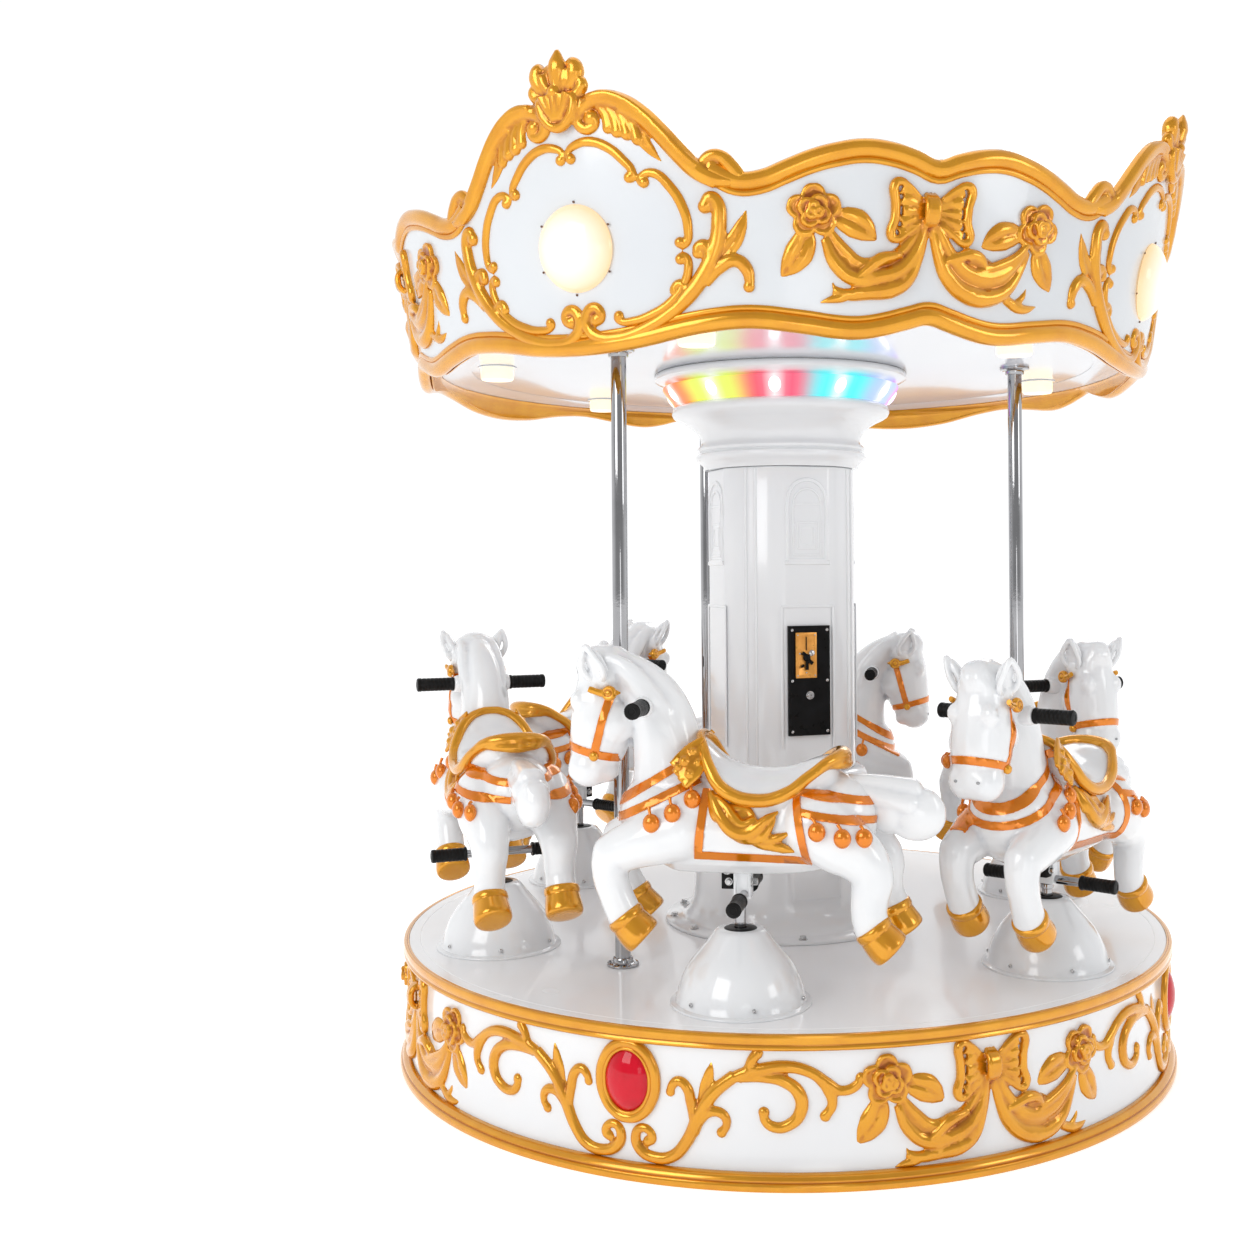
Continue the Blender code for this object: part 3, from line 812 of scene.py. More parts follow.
@dataclass
class Studio:
    """Pale floor, soft light and the camera at the photograph's angle."""

    eye: Point = (0.0, -4.253, 1.367)
    heading: float = 0.0346
    roll: float = -0.0077
    lens: float = 41.16
    shift: Spot = (-0.0837, -0.0455)

    def build(self) -> None:
        """Set up the floor, the lights, the surroundings and the camera."""
        self.floor()
        self.surroundings()
        for name, place, size, power in (
                ("key", (-3.4, -4.8, 3.4), 3.0, 108.0), ("fill", (5.0, -3.2, 2.6), 1.6, 26.0),
                ("back", (1.5, 5.0, 4.5), 3.0, 60.0), ("top", (0.0, 0.0, 6.0), 4.0, 40.0),
                ("low front", (0.8, -6.0, 0.9), 1.2, 7.0)):
            self.softbox(name, place, size, power)
        self.camera()

    def floor(self) -> None:
        """Lay a plain pale floor."""
        bpy.ops.object.select_all(action="DESELECT")
        bpy.ops.mesh.primitive_circle_add(vertices=96, radius=60.0, fill_type="NGON")
        floor = bpy.context.object
        floor.name = "floor"
        made = bpy.data.materials.new("pale floor")
        made.use_nodes = True
        shader = made.node_tree.nodes["Principled BSDF"]
        shader.inputs["Base Color"].default_value = (0.72, 0.72, 0.72, 1)
        shader.inputs["Roughness"].default_value = 0.9
        shader.inputs["Specular IOR Level"].default_value = 0.1
        shader.inputs["Emission Color"].default_value = (1, 1, 1, 1)
        shader.inputs["Emission Strength"].default_value = 0.62
        floor.data.materials.append(made)

    def surroundings(self) -> None:
        """Put a white backdrop behind and dimmer walls on the near side and above, as a studio has."""
        world = bpy.data.worlds.new("studio")
        bpy.context.scene.world = world
        world.use_nodes = True
        tree = world.node_tree
        background = tree.nodes["Background"]
        background.inputs["Color"].default_value = (0.985, 0.99, 1.0, 1)
        direction = tree.nodes.new("ShaderNodeTexCoord")
        parts = tree.nodes.new("ShaderNodeSeparateXYZ")
        tree.links.new(direction.outputs["Generated"], parts.inputs[0])
        both = tree.nodes.new("ShaderNodeMath")
        both.operation = "MULTIPLY"
        tree.links.new(Finish.spread(tree, parts.outputs["Z"], 0.48, 0.98, 1.05, 0.62), both.inputs[0])
        tree.links.new(Finish.spread(tree, parts.outputs["Y"], -0.7, 0.05, 0.42, 1.0), both.inputs[1])
        tree.links.new(both.outputs[0], background.inputs["Strength"])
        bpy.context.scene.view_settings.view_transform = "Standard"

    def softbox(self, name: str, place: Point, size: float, power: float) -> None:
        """Hang a square light that looks at the carousel.

        Args:
            name: name of the light.
            place: where it hangs.
            size: side of the square.
            power: watts.
        """
        bpy.ops.object.light_add(type="AREA", location=place)
        light = bpy.context.object
        light.name = name
        light.data.size = size
        light.data.energy = power
        aim = Vector((0.0, 0.0, 1.1)) - Vector(place)
        light.rotation_euler = aim.to_track_quat("-Z", "Y").to_euler()

    def camera(self) -> None:
        """Set the camera where the photograph was taken from."""
        bpy.ops.object.camera_add(location=self.eye)
        camera = bpy.context.object
        ahead = Vector((-math.sin(self.heading), math.cos(self.heading), 0.0))
        right = Vector((math.cos(self.heading), math.sin(self.heading), 0.0))
        level = Matrix((right, Vector((0, 0, 1)), -ahead)).transposed()
        camera.rotation_euler = (level @ Matrix.Rotation(self.roll, 3, "Z")).to_euler()
        camera.data.lens = self.lens
        camera.data.sensor_width = 36.0
        camera.data.shift_x, camera.data.shift_y = self.shift
        bpy.context.scene.camera = camera


# Relief castings, modelled flat and used on the canopy and on the base

@dataclass
class Rose:
    """A gilded rose: two rings of rolled petals round a spiral heart."""

    size: float = 0.058

    def build(self, x: float, z: float, turn: float) -> list[Piece]:
        """Model the rose.

        Args:
            x: place along the wall.
            z: height of its heart.
            turn: degrees that its petals are turned.

        Returns:
            Its overlapping parts.
        """
        parts = [boss(x, z, self.size * 0.62, out=self.size * 0.16)]
        for ring, count, reach, wide, out in (
                (0, 5, 0.56, 0.45, 0.17), (1, 4, 0.29, 0.33, 0.32), (2, 3, 0.12, 0.2, 0.46)):
            for number in range(count):
                angle = math.radians(turn + number * 360.0 / count + ring * 41.0)
                spot = (x + self.size * reach * math.cos(angle), z + self.size * reach * math.sin(angle))
                parts.append(boss(*spot, self.size * wide, self.size * wide, self.size * out))
                lip = [(spot[0] + self.size * wide * 0.84 * math.cos(angle + bow),
                        spot[1] + self.size * wide * 0.84 * math.sin(angle + bow), self.size * girth)
                       for bow, girth in ((-1.9, 0.05), (-1.2, 0.085), (-0.5, 0.105), (0.0, 0.085),
                                          (0.5, 0.105), (1.2, 0.085), (1.9, 0.05))]
                parts.append(moved(relief(lip, 1.0, 4, 2), (0, -self.size * (0.11 + 0.155 * ring), 0)))
        heart = [(x + self.size * 0.075 * math.cos(a * ARC), z + self.size * 0.075 * math.sin(a * ARC),
                  self.size * 0.05) for a in range(0, 361, 60)]
        parts.append(moved(relief(heart, 1.0, 3, 2), (0, -self.size * 0.47, 0)))
        return parts


@dataclass
class Garland:
    """Bow, two roses with leaves, and a swag of drapery between them."""

    arc: float = 0.0179
    draw: float = 0.8

    def wall(self, points: Sequence[Point]) -> list[Point]:
        """Turn degrees along the wall into metres, with the middle drawn towards the left."""
        return [((degrees - self.draw * max(0.0, 1.0 - abs(degrees) / 13.0)) * self.arc, height, radius)
                for degrees, height, radius in points]

    def bow(self) -> list[Piece]:
        """Model the bow with its fluted loops.

        Returns:
            Its parts.
        """
        parts = []
        for side in (-1, 1):
            for height, reach, girth in ((0.045, 3.9, 0.014), (0.023, 3.8, 0.0165), (-0.003, 3.75, 0.0165),
                                         (-0.028, 3.85, 0.016), (-0.05, 4.1, 0.0135)):
                path = self.wall([(side * 0.5, height * 0.3, 0.007), (side * 1.7, height * 0.5, 0.009),
                                  (side * 3.0, height * 0.84, girth * 0.85), (side * reach, height, girth)])
                parts.append(relief(path, 1.05))
            edge = self.wall(
                [(side * 1.4, 0.026, 0.005), (side * 3.0, 0.049, 0.0075), (side * 4.5, 0.059, 0.0105),
                 (side * 4.95, 0.05, 0.011), (side * 4.7, 0.014, 0.0105), (side * 4.7, -0.022, 0.0105),
                 (side * 5.15, -0.052, 0.011), (side * 4.7, -0.064, 0.0105), (side * 3.0, -0.05, 0.0075),
                 (side * 1.4, -0.028, 0.005)])
            parts.append(moved(relief(edge, 1.2), (0, -0.005, 0)))
        for x in (-0.009, 0.0, 0.009):
            band = tube([(x, 0.004, 0.036, 0.006), (x * 1.1, -0.018, 0.02, 0.008),
                         (x * 1.15, -0.023, 0.0, 0.0085), (x * 1.1, -0.018, -0.02, 0.008),
                         (x, 0.004, -0.036, 0.006)])
            parts.append(moved(band, (-self.draw * self.arc, 0, 0)))
        return parts

    def swag(self) -> list[Piece]:
        """Model the drapery.

        Returns:
            Its folds.
        """
        folds = (
            ((-13.0, -0.052, 0.01), (-11.0, -0.09, 0.013), (-8.8, -0.118, 0.014), (-6.6, -0.114, 0.015),
             (-4.6, -0.102, 0.014), (-2.4, -0.066, 0.012), (-0.8, -0.024, 0.009)),
            ((-13.6, -0.066, 0.01), (-12.2, -0.12, 0.016), (-9.5, -0.152, 0.018), (-6.5, -0.146, 0.02),
             (-4.0, -0.134, 0.019), (-1.9, -0.094, 0.015), (-0.6, -0.034, 0.009)),
            ((-12.4, -0.176, 0.009), (-10.6, -0.186, 0.014), (-8.0, -0.18, 0.019), (-5.0, -0.172, 0.023),
             (-2.9, -0.154, 0.02), (-1.3, -0.104, 0.014), (-0.3, -0.044, 0.008)),
            ((-9.6, -0.152, 0.008), (-8.0, -0.13, 0.012), (-6.4, -0.108, 0.015), (-4.8, -0.1, 0.011),
             (-3.6, -0.098, 0.006)),
            ((-9.2, -0.18, 0.01), (-11.4, -0.194, 0.011), (-12.8, -0.198, 0.008), (-14.0, -0.204, 0.002)),
            ((-11.4, -0.19, 0.01), (-12.1, -0.176, 0.006), (-12.5, -0.16, 0.002)),
            ((0.5, -0.03, 0.009), (1.2, -0.08, 0.014), (3.0, -0.144, 0.02), (5.8, -0.176, 0.024),
             (8.6, -0.178, 0.023), (11.0, -0.156, 0.018), (12.6, -0.112, 0.013), (13.6, -0.07, 0.009)),
            ((1.0, -0.03, 0.009), (2.2, -0.07, 0.013), (4.0, -0.112, 0.017), (6.6, -0.134, 0.018),
             (9.2, -0.13, 0.017), (11.4, -0.104, 0.014), (13.2, -0.064, 0.01)),
            ((2.4, -0.106, 0.008), (3.8, -0.096, 0.012), (5.4, -0.088, 0.014), (6.8, -0.096, 0.012),
             (7.4, -0.11, 0.007)),
            ((5.2, -0.134, 0.008), (7.4, -0.12, 0.012), (9.6, -0.104, 0.012), (11.6, -0.084, 0.01),
             (13.4, -0.052, 0.008)),
            ((11.0, -0.178, 0.012), (13.0, -0.194, 0.014), (14.6, -0.196, 0.011), (16.4, -0.186, 0.002)),
            ((12.8, -0.186, 0.01), (13.8, -0.168, 0.008), (14.2, -0.148, 0.002)))
        shifts = (0.0, -0.002, 0.0, -0.01, -0.002, 0.0, 0.0, -0.002, -0.01, -0.006, 0.002, 0.002)
        parts = [moved(relief(self.wall(fold), 0.95), (0, out, 0)) for fold, out in zip(folds, shifts)]
        under = self.wall([(-13.2, -0.058, 0.012), (-11.6, -0.104, 0.017), (-9.2, -0.134, 0.019),
                           (-5.6, -0.14, 0.02), (-2.6, -0.11, 0.018), (-0.6, -0.034, 0.01)])
        other = self.wall([(0.8, -0.034, 0.01), (2.4, -0.1, 0.02), (4.8, -0.134, 0.026),
                           (7.6, -0.142, 0.026), (10.4, -0.128, 0.022), (12.6, -0.084, 0.014)])
        return parts + [relief(under, 0.55), relief(other, 0.55),
                        boss(6.0 * self.arc, -0.112, 0.048, 0.026, 0.012)]

    def build(self) -> Piece:
        """Model the whole garland, with the bow's knot at the origin.

        Returns:
            The casting.
        """
        parts = self.bow() + self.swag()
        for (x, z), turn in (((-0.267, -0.008), 20.0), ((0.262, -0.014), 64.0)):
            parts += Rose().build(x, z, turn)
        for root, tip, wide, sag in (
                ((-0.226, -0.016), (-0.13, -0.068), 0.031, 0.008),
                ((-0.276, -0.044), (-0.336, -0.148), 0.031, 0.008),
                ((0.224, -0.028), (0.118, -0.07), 0.031, -0.008),
                ((0.27, -0.052), (0.328, -0.15), 0.029, -0.006)):
            parts += leaf(root, tip, wide, sag)
        return carved("garland", parts, grain=0.0025, rounds=2, budget=13000)


# Base

@dataclass
class Base:
    """The fixed base: skirt, floor rim, stones in their rings, and gilded relief."""

    radius: float = 1.083
    rim: float = 1.1105
    stone_turn: float = -19.2
    garland_turn: float = 26.2
    stone_height: float = 0.217
    arc: float = 0.0189

    def build(self, garland: Piece) -> None:
        """Build the base.

        Args:
            garland: the flat casting, which is copied.
        """
        self.skirt()
        self.floor_rim()
        self.stones()
        self.scrolls()
        flat = copy_of(garland)
        wrap(moved(flat, (0, 0, 0.24)), self.radius - 0.0036)
        four(flat, "base_garland", self.garland_turn, GOLD, BASE, crease=CARVED_CREASE)

    def skirt(self) -> None:
        """Turn the skirt with its beads and its inner wall."""
        r = self.radius
        skirt = turned("skirt", [(r - 0.012, 0.0), (r, 0.0), (r, 0.034), (r - 0.0016, 0.037),
                                 (r - 0.0016, 0.3), (r, 0.303), (r, 0.3135), (r - 0.0025, 0.316),
                                 (r - 0.012, 0.316), (r - 0.012, 0.0)], 192)
        dress(skirt, WHITE, BASE, "base_skirt")

    def floor_rim(self) -> None:
        """Turn the gold moulding along the floor."""
        r, rim = self.radius + 0.0005, self.rim
        profile = [(r, 0.0), (rim - 0.002, 0.0), (rim, 0.003), (rim, 0.013), (rim - 0.002, 0.017),
                   (rim - 0.006, 0.019), (rim - 0.006, 0.021), (rim - 0.005, 0.024), (rim - 0.008, 0.03),
                   (rim - 0.014, 0.034), (r + 0.006, 0.035), (r, 0.035), (r, 0.0)]
        dress(turned("floor_rim", profile, 192), GOLD, BASE, "base_rim")

    def stones(self) -> None:
        """Set four red stones in gold rings."""
        wide, high, seat = 0.059, 0.076, self.radius - 0.0015
        dome = [(0.0, 0.028), (0.2, 0.0272), (0.42, 0.0242), (0.64, 0.019), (0.82, 0.012), (0.94, 0.0052),
                (1.0, 0.0), (0.96, -0.002), (0.0, -0.002)]
        stone = turned("stone", dome, 64)
        stone = moved(stone, turn=(90, 0, 0), size=(wide, high, 1))
        moved(stone, (0, -seat, self.stone_height))
        four(stone, "red_stone", self.stone_turn, RED, BASE, "stone")
        rings = []
        for girth, grow, rise in ((0.0125, 0.0085, 0.003), (0.0045, -0.0035, 0.009)):
            points = [((wide + grow) * math.cos(a * ARC), -rise, (high + grow) * math.sin(a * ARC), girth)
                      for a in range(0, 360, 30)]
            rings.append(tube(points, 4, 6, ring=True))
        ring = joined("ring", rings)
        moved(ring, (0, 0, self.stone_height))
        wrap(ring, seat)
        four(ring, "stone_ring", self.stone_turn, GOLD, BASE, crease=50.0)

    def scrolls(self) -> None:
        """Carve the leaf scrolls on both sides of each stone."""
        paths = (
            ((13.2, 0.246, 0.015), (10.6, 0.204, 0.016), (8.9, 0.152, 0.016), (7.3, 0.09, 0.015),
             (5.6, 0.056, 0.0145), (3.4, 0.049, 0.014), (1.5, 0.064, 0.014), (0.95, 0.093, 0.0125),
             (1.7, 0.112, 0.011), (2.8, 0.106, 0.0105), (3.1, 0.088, 0.01), (2.5, 0.08, 0.009)),
            ((11.4, 0.222, 0.01), (13.6, 0.246, 0.014), (16.4, 0.262, 0.0145), (19.4, 0.268, 0.0145),
             (22.0, 0.256, 0.0135), (24.2, 0.228, 0.014), (25.6, 0.213, 0.012), (27.4, 0.222, 0.012),
             (28.2, 0.244, 0.009)),
            ((22.6, 0.246, 0.009), (24.2, 0.214, 0.014), (24.6, 0.182, 0.012), (23.9, 0.16, 0.0115)),
            ((13.8, 0.24, 0.01), (16.6, 0.244, 0.013), (19.2, 0.234, 0.015), (20.8, 0.206, 0.016),
             (20.9, 0.168, 0.0155), (19.6, 0.14, 0.014), (17.8, 0.134, 0.013), (16.7, 0.15, 0.0115),
             (16.6, 0.172, 0.01)),
            ((13.6, 0.234, 0.009), (14.8, 0.262, 0.012), (15.4, 0.286, 0.0125), (16.1, 0.298, 0.012)),
            ((8.3, 0.13, 0.01), (7.9, 0.182, 0.013), (7.4, 0.214, 0.013), (6.4, 0.226, 0.012),
             (5.6, 0.214, 0.011), (5.3, 0.196, 0.008)),
            ((8.4, 0.11, 0.009), (9.2, 0.146, 0.012), (10.6, 0.164, 0.0125), (11.9, 0.156, 0.012),
             (12.2, 0.136, 0.01), (11.6, 0.118, 0.0105)))
        parts = [relief([(x * self.arc, z, r) for x, z, r in path], 0.95) for path in paths]
        parts += leaf((9.0 * self.arc, 0.168), (10.5 * self.arc, 0.278), 0.015, -0.002)
        for x, z, size in ((2.55, 0.084, 0.0125), (15.9, 0.298, 0.0135), (23.8, 0.158, 0.0135),
                           (28.0, 0.24, 0.0125), (16.6, 0.166, 0.0135), (11.6, 0.118, 0.0125),
                           (5.4, 0.2, 0.0115)):
            parts.append(boss(x * self.arc, z, size))
        scroll = carved("scroll", [mirrored(joined("half", parts))], grain=0.0028, rounds=3, budget=12500)
        wrap(scroll, self.radius - 0.0025)
        four(scroll, "base_scroll", self.stone_turn, GOLD, BASE, crease=CARVED_CREASE)


# Deck and column

@dataclass
class Deck:
    """The turning deck with its gold edge, and the six cones that the posts come out of."""

    top: float = 0.342
    radius: float = 1.085
    cone_circle: float = 0.8525
    cone_turn: float = -7.0

    def build(self) -> None:
        """Build the deck, its edge and the cones."""
        t, r = self.top, self.radius
        deck = turned("deck_plate", [(0.0, t - 0.02), (r, t - 0.02), (r, t - 0.002), (r - 0.002, t),
                                     (r - 0.03, t), (r - 0.0315, t - 0.0012), (r - 0.033, t), (0.0, t)], 192)
        dress(deck, DECK_LIT_WHITE, TURNTABLE, "deck", crease=25.0)
        rim = [(r + HAIR, t - 0.02), (r + 0.0045, t - 0.02), (r + 0.006, t - 0.033), (1.0965, t - 0.035),
               (1.0995, t - 0.032), (1.1, t - 0.028), (1.098, t - 0.0245), (1.0975, t - 0.022),
               (1.0997, t - 0.018), (1.1, t - 0.008), (1.0985, t - 0.002), (1.0955, t + 0.0),
               (1.0915, t + 0.0), (1.09, t - 0.0015), (1.0885, t), (r + HAIR, t), (r + HAIR, t - 0.02)]
        dress(turned("deck_edge", rim, 192), GOLD, TURNTABLE, "deck_rim")
        self.cones()

    def cones(self) -> None:
        """Turn one cone with its screws and rubber collar, and copy it."""
        t = self.top + HAIR
        profile = [(0.0164, 0.5165), (0.051, 0.5165), (0.058, 0.514), (0.0635, 0.508), (0.08, 0.486),
                   (0.101, 0.462), (0.118, 0.442), (0.132, 0.42), (0.143, 0.396), (0.15, 0.374),
                   (0.1535, t + 0.01), (0.156, t + 0.0065), (0.168, t + 0.0045), (0.169, t + 0.003),
                   (0.169, t), (0.147, t), (0.144, 0.37), (0.126, 0.418), (0.096, 0.456),
                   (0.056, 0.506), (0.02, 0.508), (0.0164, 0.508), (0.0164, 0.5165)]
        cone = turned("cone", profile, 72)
        collar = turned(
            "collar",
            [(0.015, 0.5085), (0.015, 0.5235), (0.017, 0.5255), (0.038, 0.5245), (0.042, 0.5215),
             (0.0425, 0.517), (0.03, 0.5167), (0.016, 0.5167), (0.015, 0.5085)], 48)
        collar = moved(collar, (0, 0, -0.0068))
        head = screw(0.0052, 0.003)
        screws = []
        for azimuth in range(20, 380, 60):
            piece = moved(copy_of(head), (0, -0.1535, t + 0.021))
            screws.append(moved(piece, turn=(0, 0, azimuth)))
        discard(head)
        fastening = joined("cone_screws", screws)
        for number in range(6):
            azimuth = self.cone_turn + SIXTH * number
            spot = at_azimuth(self.cone_circle, azimuth)
            for piece, name, finish, node in (
                    (cone, "cone_shell", WHITE, "cone_{}"), (collar, "cone_collar", RUBBER, ""),
                    (fastening, "cone_screws", STEEL_SCREW, "")):
                part = moved(copy_of(piece, f"{name}_{number + 1}"), turn=(0, 0, azimuth))
                dress(moved(part, spot), finish, TURNTABLE, node.format(number + 1))
        discard(cone, collar, fastening)


@dataclass
class Column:
    """The column: plinth, shaft with arched relief, capital with its ring of lamps, and the coin panel."""

    turn: float = 21.0
    flat: float = 0.203
    radius: float = 0.2136
    plinth_top: float = 0.79
    shaft_top: float = 1.66
    bulb_turn: float = -2.6
    bulbs: int = 11
    bulb_blend: float = 13.0
    bulb_core: float = 14.0
    bulb_white: float = 0.85

    def build(self) -> None:
        """Build the column from the deck up."""
        self.plinth()
        self.shaft()
        self.face_relief()
        self.capital()
        self.lamp_ring()
        CoinPanel(self.turn, self.flat).build()

    def plinth(self) -> None:
        """Turn the plinth, bolt its flange down and give it the moulded hump in front."""
        t = ON_DECK
        profile = [
            (0.0, t), (0.349, t), (0.35, t + 0.001), (0.35, t + 0.0075), (0.348, t + 0.01),
            (0.302, t + 0.0125), (0.296, t + 0.016), (0.29, t + 0.023), (0.279, t + 0.036),
            (0.269, t + 0.06), (0.264, 0.44), (0.26, 0.52), (0.256, 0.64), (0.253, 0.71), (0.249, 0.755),
            (0.247, 0.769), (0.24, 0.782), (0.23, 0.789), (0.22, 0.7897), (0.0, 0.7897)]
        plinth = turned("plinth", profile, 128)
        with editing(plinth):
            select_faces(plinth, lambda face: abs(face.calc_center_median().x) < 0.075
                         and face.calc_center_median().y < 0 and 0.44 < face.calc_center_median().z < 0.62)
            bpy.ops.mesh.inset(thickness=0.005, depth=0.0035)
            bpy.ops.mesh.inset(thickness=0.006, depth=0.0035)
        moved(plinth, turn=(0, 0, self.turn))
        dress(plinth, WHITE, TURNTABLE, "column_plinth", crease=50.0)
        head = nut(0.0095, 0.008)
        bolts = []
        for number in range(12):
            bolts.append(moved(moved(copy_of(head), (0, -0.326, t + 0.0105)),
                               turn=(0, 0, 9.0 + 30.0 * number)))
        discard(head)
        dress(joined("plinth_bolts", bolts), STEEL_SCREW, TURNTABLE)

    def shaft(self) -> None:
        """Raise the shaft and plane its four flats."""
        bpy.ops.object.select_all(action="DESELECT")
        bpy.ops.mesh.primitive_circle_add(
            vertices=160, radius=self.radius, fill_type="NGON", location=(0, 0, self.plinth_top + 0.0003))
        shaft = settle(bpy.context.object)
        with editing(shaft, "FACE"):
            bpy.ops.mesh.extrude_region_move(
                TRANSFORM_OT_translate={"value": (0, 0, self.shaft_top - self.plinth_top - 0.0006)})
        close_up(shaft)
        for face in range(4):
            angle = face * math.pi / 2
            normal = (math.sin(angle), -math.cos(angle), 0.0)
            trimmed(shaft, tuple(self.flat * part for part in normal), normal)
        rounded(shaft, 0.004, 3, 12)
        moved(named(shaft, "shaft"), turn=(0, 0, self.turn))
        dress(shaft, WHITE, TURNTABLE, "column_shaft", crease=30.0)

    def face_relief(self) -> None:
        """Lay the arched window, the corner ridges and the service frame on the faces."""
        f = self.flat
        parts = []
        for wide, low, spring, girth in ((0.0585, 1.392, 1.56, 0.0058), (0.0415, 1.408, 1.552, 0.0034)):
            arch = [(-wide, low, girth), (-wide, (low + spring) / 2, girth), (-wide, spring, girth)]
            arch += [(-wide * math.cos(a * ARC), spring + wide * 1.05 * math.sin(a * ARC), girth)
                     for a in (30, 60, 90, 120, 150)]
            arch += [(wide, spring, girth), (wide, (low + spring) / 2, girth), (wide, low, girth)]
            parts.append(relief(arch, 0.85, 6, 2))
            parts.append(self.rib((-wide, low), (wide, low), girth, 0.85, 2))
        for low, high, wide, girth in ((1.426, 1.5, 0.029, 0.003), (1.438, 1.488, 0.0185, 0.0022)):
            corners = [(-wide, low), (wide, low), (wide, high), (-wide, high), (-wide, low)]
            parts += [self.rib(start, end, girth, 0.6) for start, end in zip(corners, corners[1:])]
        parts.append(self.rib((-0.04, 1.552), (0.04, 1.552), 0.0034, 0.6))
        parts.append(self.rib((-0.068, 1.386), (0.068, 1.386), 0.0062, 0.7))
        window = moved(joined("window", parts), (0, -f, 0))
        ridges = []
        for degrees in (-41.0, 41.0):
            spot = at_azimuth(self.radius - 0.001, degrees)
            ridges.append(tube([(spot[0], spot[1], z, 0.005) for z in (0.796, 1.25, 1.654)], 3, 1))
        corners = [(-0.078, 0.862), (-0.078, 1.262), (0.078, 1.262), (0.078, 0.862)]
        frame = [self.rib(start, end, 0.0042, 0.6) for start, end in zip(corners, corners[1:])]
        service = moved(joined("service", frame), (0, -f, 0))
        column = joined("relief", [window, joined("ridges", ridges), service])
        four(close_up(column), "shaft_relief", self.turn, WHITE, TURNTABLE, crease=40.0)

    @staticmethod
    def rib(start: Spot, end: Spot, girth: float, depth: float, fine: int = 1) -> Piece:
        """Lay a straight rib on a flat.

        Args:
            start: x and z where it starts.
            end: x and z where it ends.
            girth: its radius.
            depth: how far it stands out, as a share of its radius.
            fine: steps in each half.

        Returns:
            The rib.
        """
        middle = [(a + b) / 2 for a, b in zip(start, end)]
        return relief([(*start, girth), (*middle, girth), (*end, girth)], depth, fine, 2)

    def capital(self) -> None:
        """Turn the capital with its neck rolls, sweep and lip, and a thin black ring as painted shadow in
        the gap under the ceiling.
        """
        profile = [
            (0.0, 1.6603), (0.225, 1.6603), (0.227, 1.664), (0.231, 1.674), (0.24, 1.682), (0.2485, 1.688),
            (0.2507, 1.696), (0.249, 1.704), (0.242, 1.708), (0.241, 1.711), (0.247, 1.715), (0.248, 1.721),
            (0.243, 1.727), (0.2365, 1.732), (0.235, 1.74), (0.238, 1.754), (0.247, 1.77), (0.264, 1.786),
            (0.285, 1.7985), (0.306, 1.808), (0.316, 1.815), (0.321, 1.824), (0.3215, 1.833), (0.318, 1.841),
            (0.311, 1.8455), (0.2972, 1.8457), (0.2972, 1.9043), (0.318, 1.906), (0.342, 1.912),
            (0.364, 1.92), (0.37, 1.9235), (0.371, 1.928), (0.37, 1.935), (0.366, 1.94),
            (0.364, UNDER_CEILING), (0.0, UNDER_CEILING)]
        dress(turned("capital", profile, 128), WHITE, TURNTABLE, "column_capital", crease=45.0)
        # A thin black bead under the lip: painted shadow of the gap between capital and ceiling.
        gap_shadow = [(0.3706, 1.9395), (0.3718, 1.9402), (0.3706, 1.9409)]
        dress(turned("capital_seam", gap_shadow + gap_shadow[:1], 128), RUBBER, TURNTABLE)

    def lamp_ring(self) -> None:
        """Turn the glowing band and set its coloured bulbs."""
        low, high = 1.8463, 1.9037
        band = turned(
            "lamp_band",
            [(0.2976, low), (0.3125, low + 0.001), (0.315, low + 0.004), (0.3215, low + 0.016),
             (0.3315, (low + high) / 2), (0.3415, high - 0.016), (0.3475, high - 0.006),
             (0.347, high - 0.001), (0.2976, high), (0.2976, low)], 128)
        colours = [(1.0, 0.2, 0.05), (0.8, 1.0, 0.12), (1.0, 0.06, 0.16), (0.05, 0.95, 1.0),
                   (0.45, 0.6, 1.0), (0.75, 0.18, 1.0), (1.0, 0.3, 0.06), (0.35, 1.0, 0.18), (1.0, 0.1, 0.3),
                   (0.1, 0.75, 1.0), (0.95, 0.55, 0.08)]
        order = [(self.bulb_turn + (n - 2) * 360.0 / self.bulbs, colours[n]) for n in range(self.bulbs)]
        layer = band.data.color_attributes.new("glow", "FLOAT_COLOR", "POINT")
        for vertex, paint in zip(band.data.vertices, layer.data):
            here = math.degrees(math.atan2(vertex.co.x, -vertex.co.y))
            mixed, total = Vector((0, 0, 0)), 0.0
            gaps = [abs((here - azimuth + 180.0) % 360.0 - 180.0) for azimuth, _ in order]
            for gap, (_, colour) in zip(gaps, order):
                weight = math.exp(-(gap / self.bulb_blend) ** 2)
                mixed, total = mixed + Vector(colour) * weight, total + weight
            near = self.bulb_white * max(math.exp(-gap ** 2 / self.bulb_core) for gap in gaps)
            paint.color = (*(mixed / total).lerp(Vector((1.0, 1.0, 1.0)), near), 1.0)
        dress(band, RING_GLOW, TURNTABLE, "light_ring")
        bulb = ball((0, -0.332, (low + high) / 2), (0.017, 0.0085, 0.024), 20, tilt=35)
        for number, (azimuth, colour) in enumerate(order, 1):
            piece = moved(copy_of(bulb, f"ring_bulb_{number}"), turn=(0, 0, azimuth))
            dress(piece, lamp_colour(f"bulb {number}", tuple(0.62 + 0.38 * part for part in colour), 2.2),
                  TURNTABLE)
        discard(bulb)


RING_GLOW = LampGlow("ring glow", Slot.LAMP, (0.05, 0.05, 0.05), (0.04, 0.04, 0.04), 0.3, glow=(1, 1, 1),
                     power=1.05, specular=0.2)


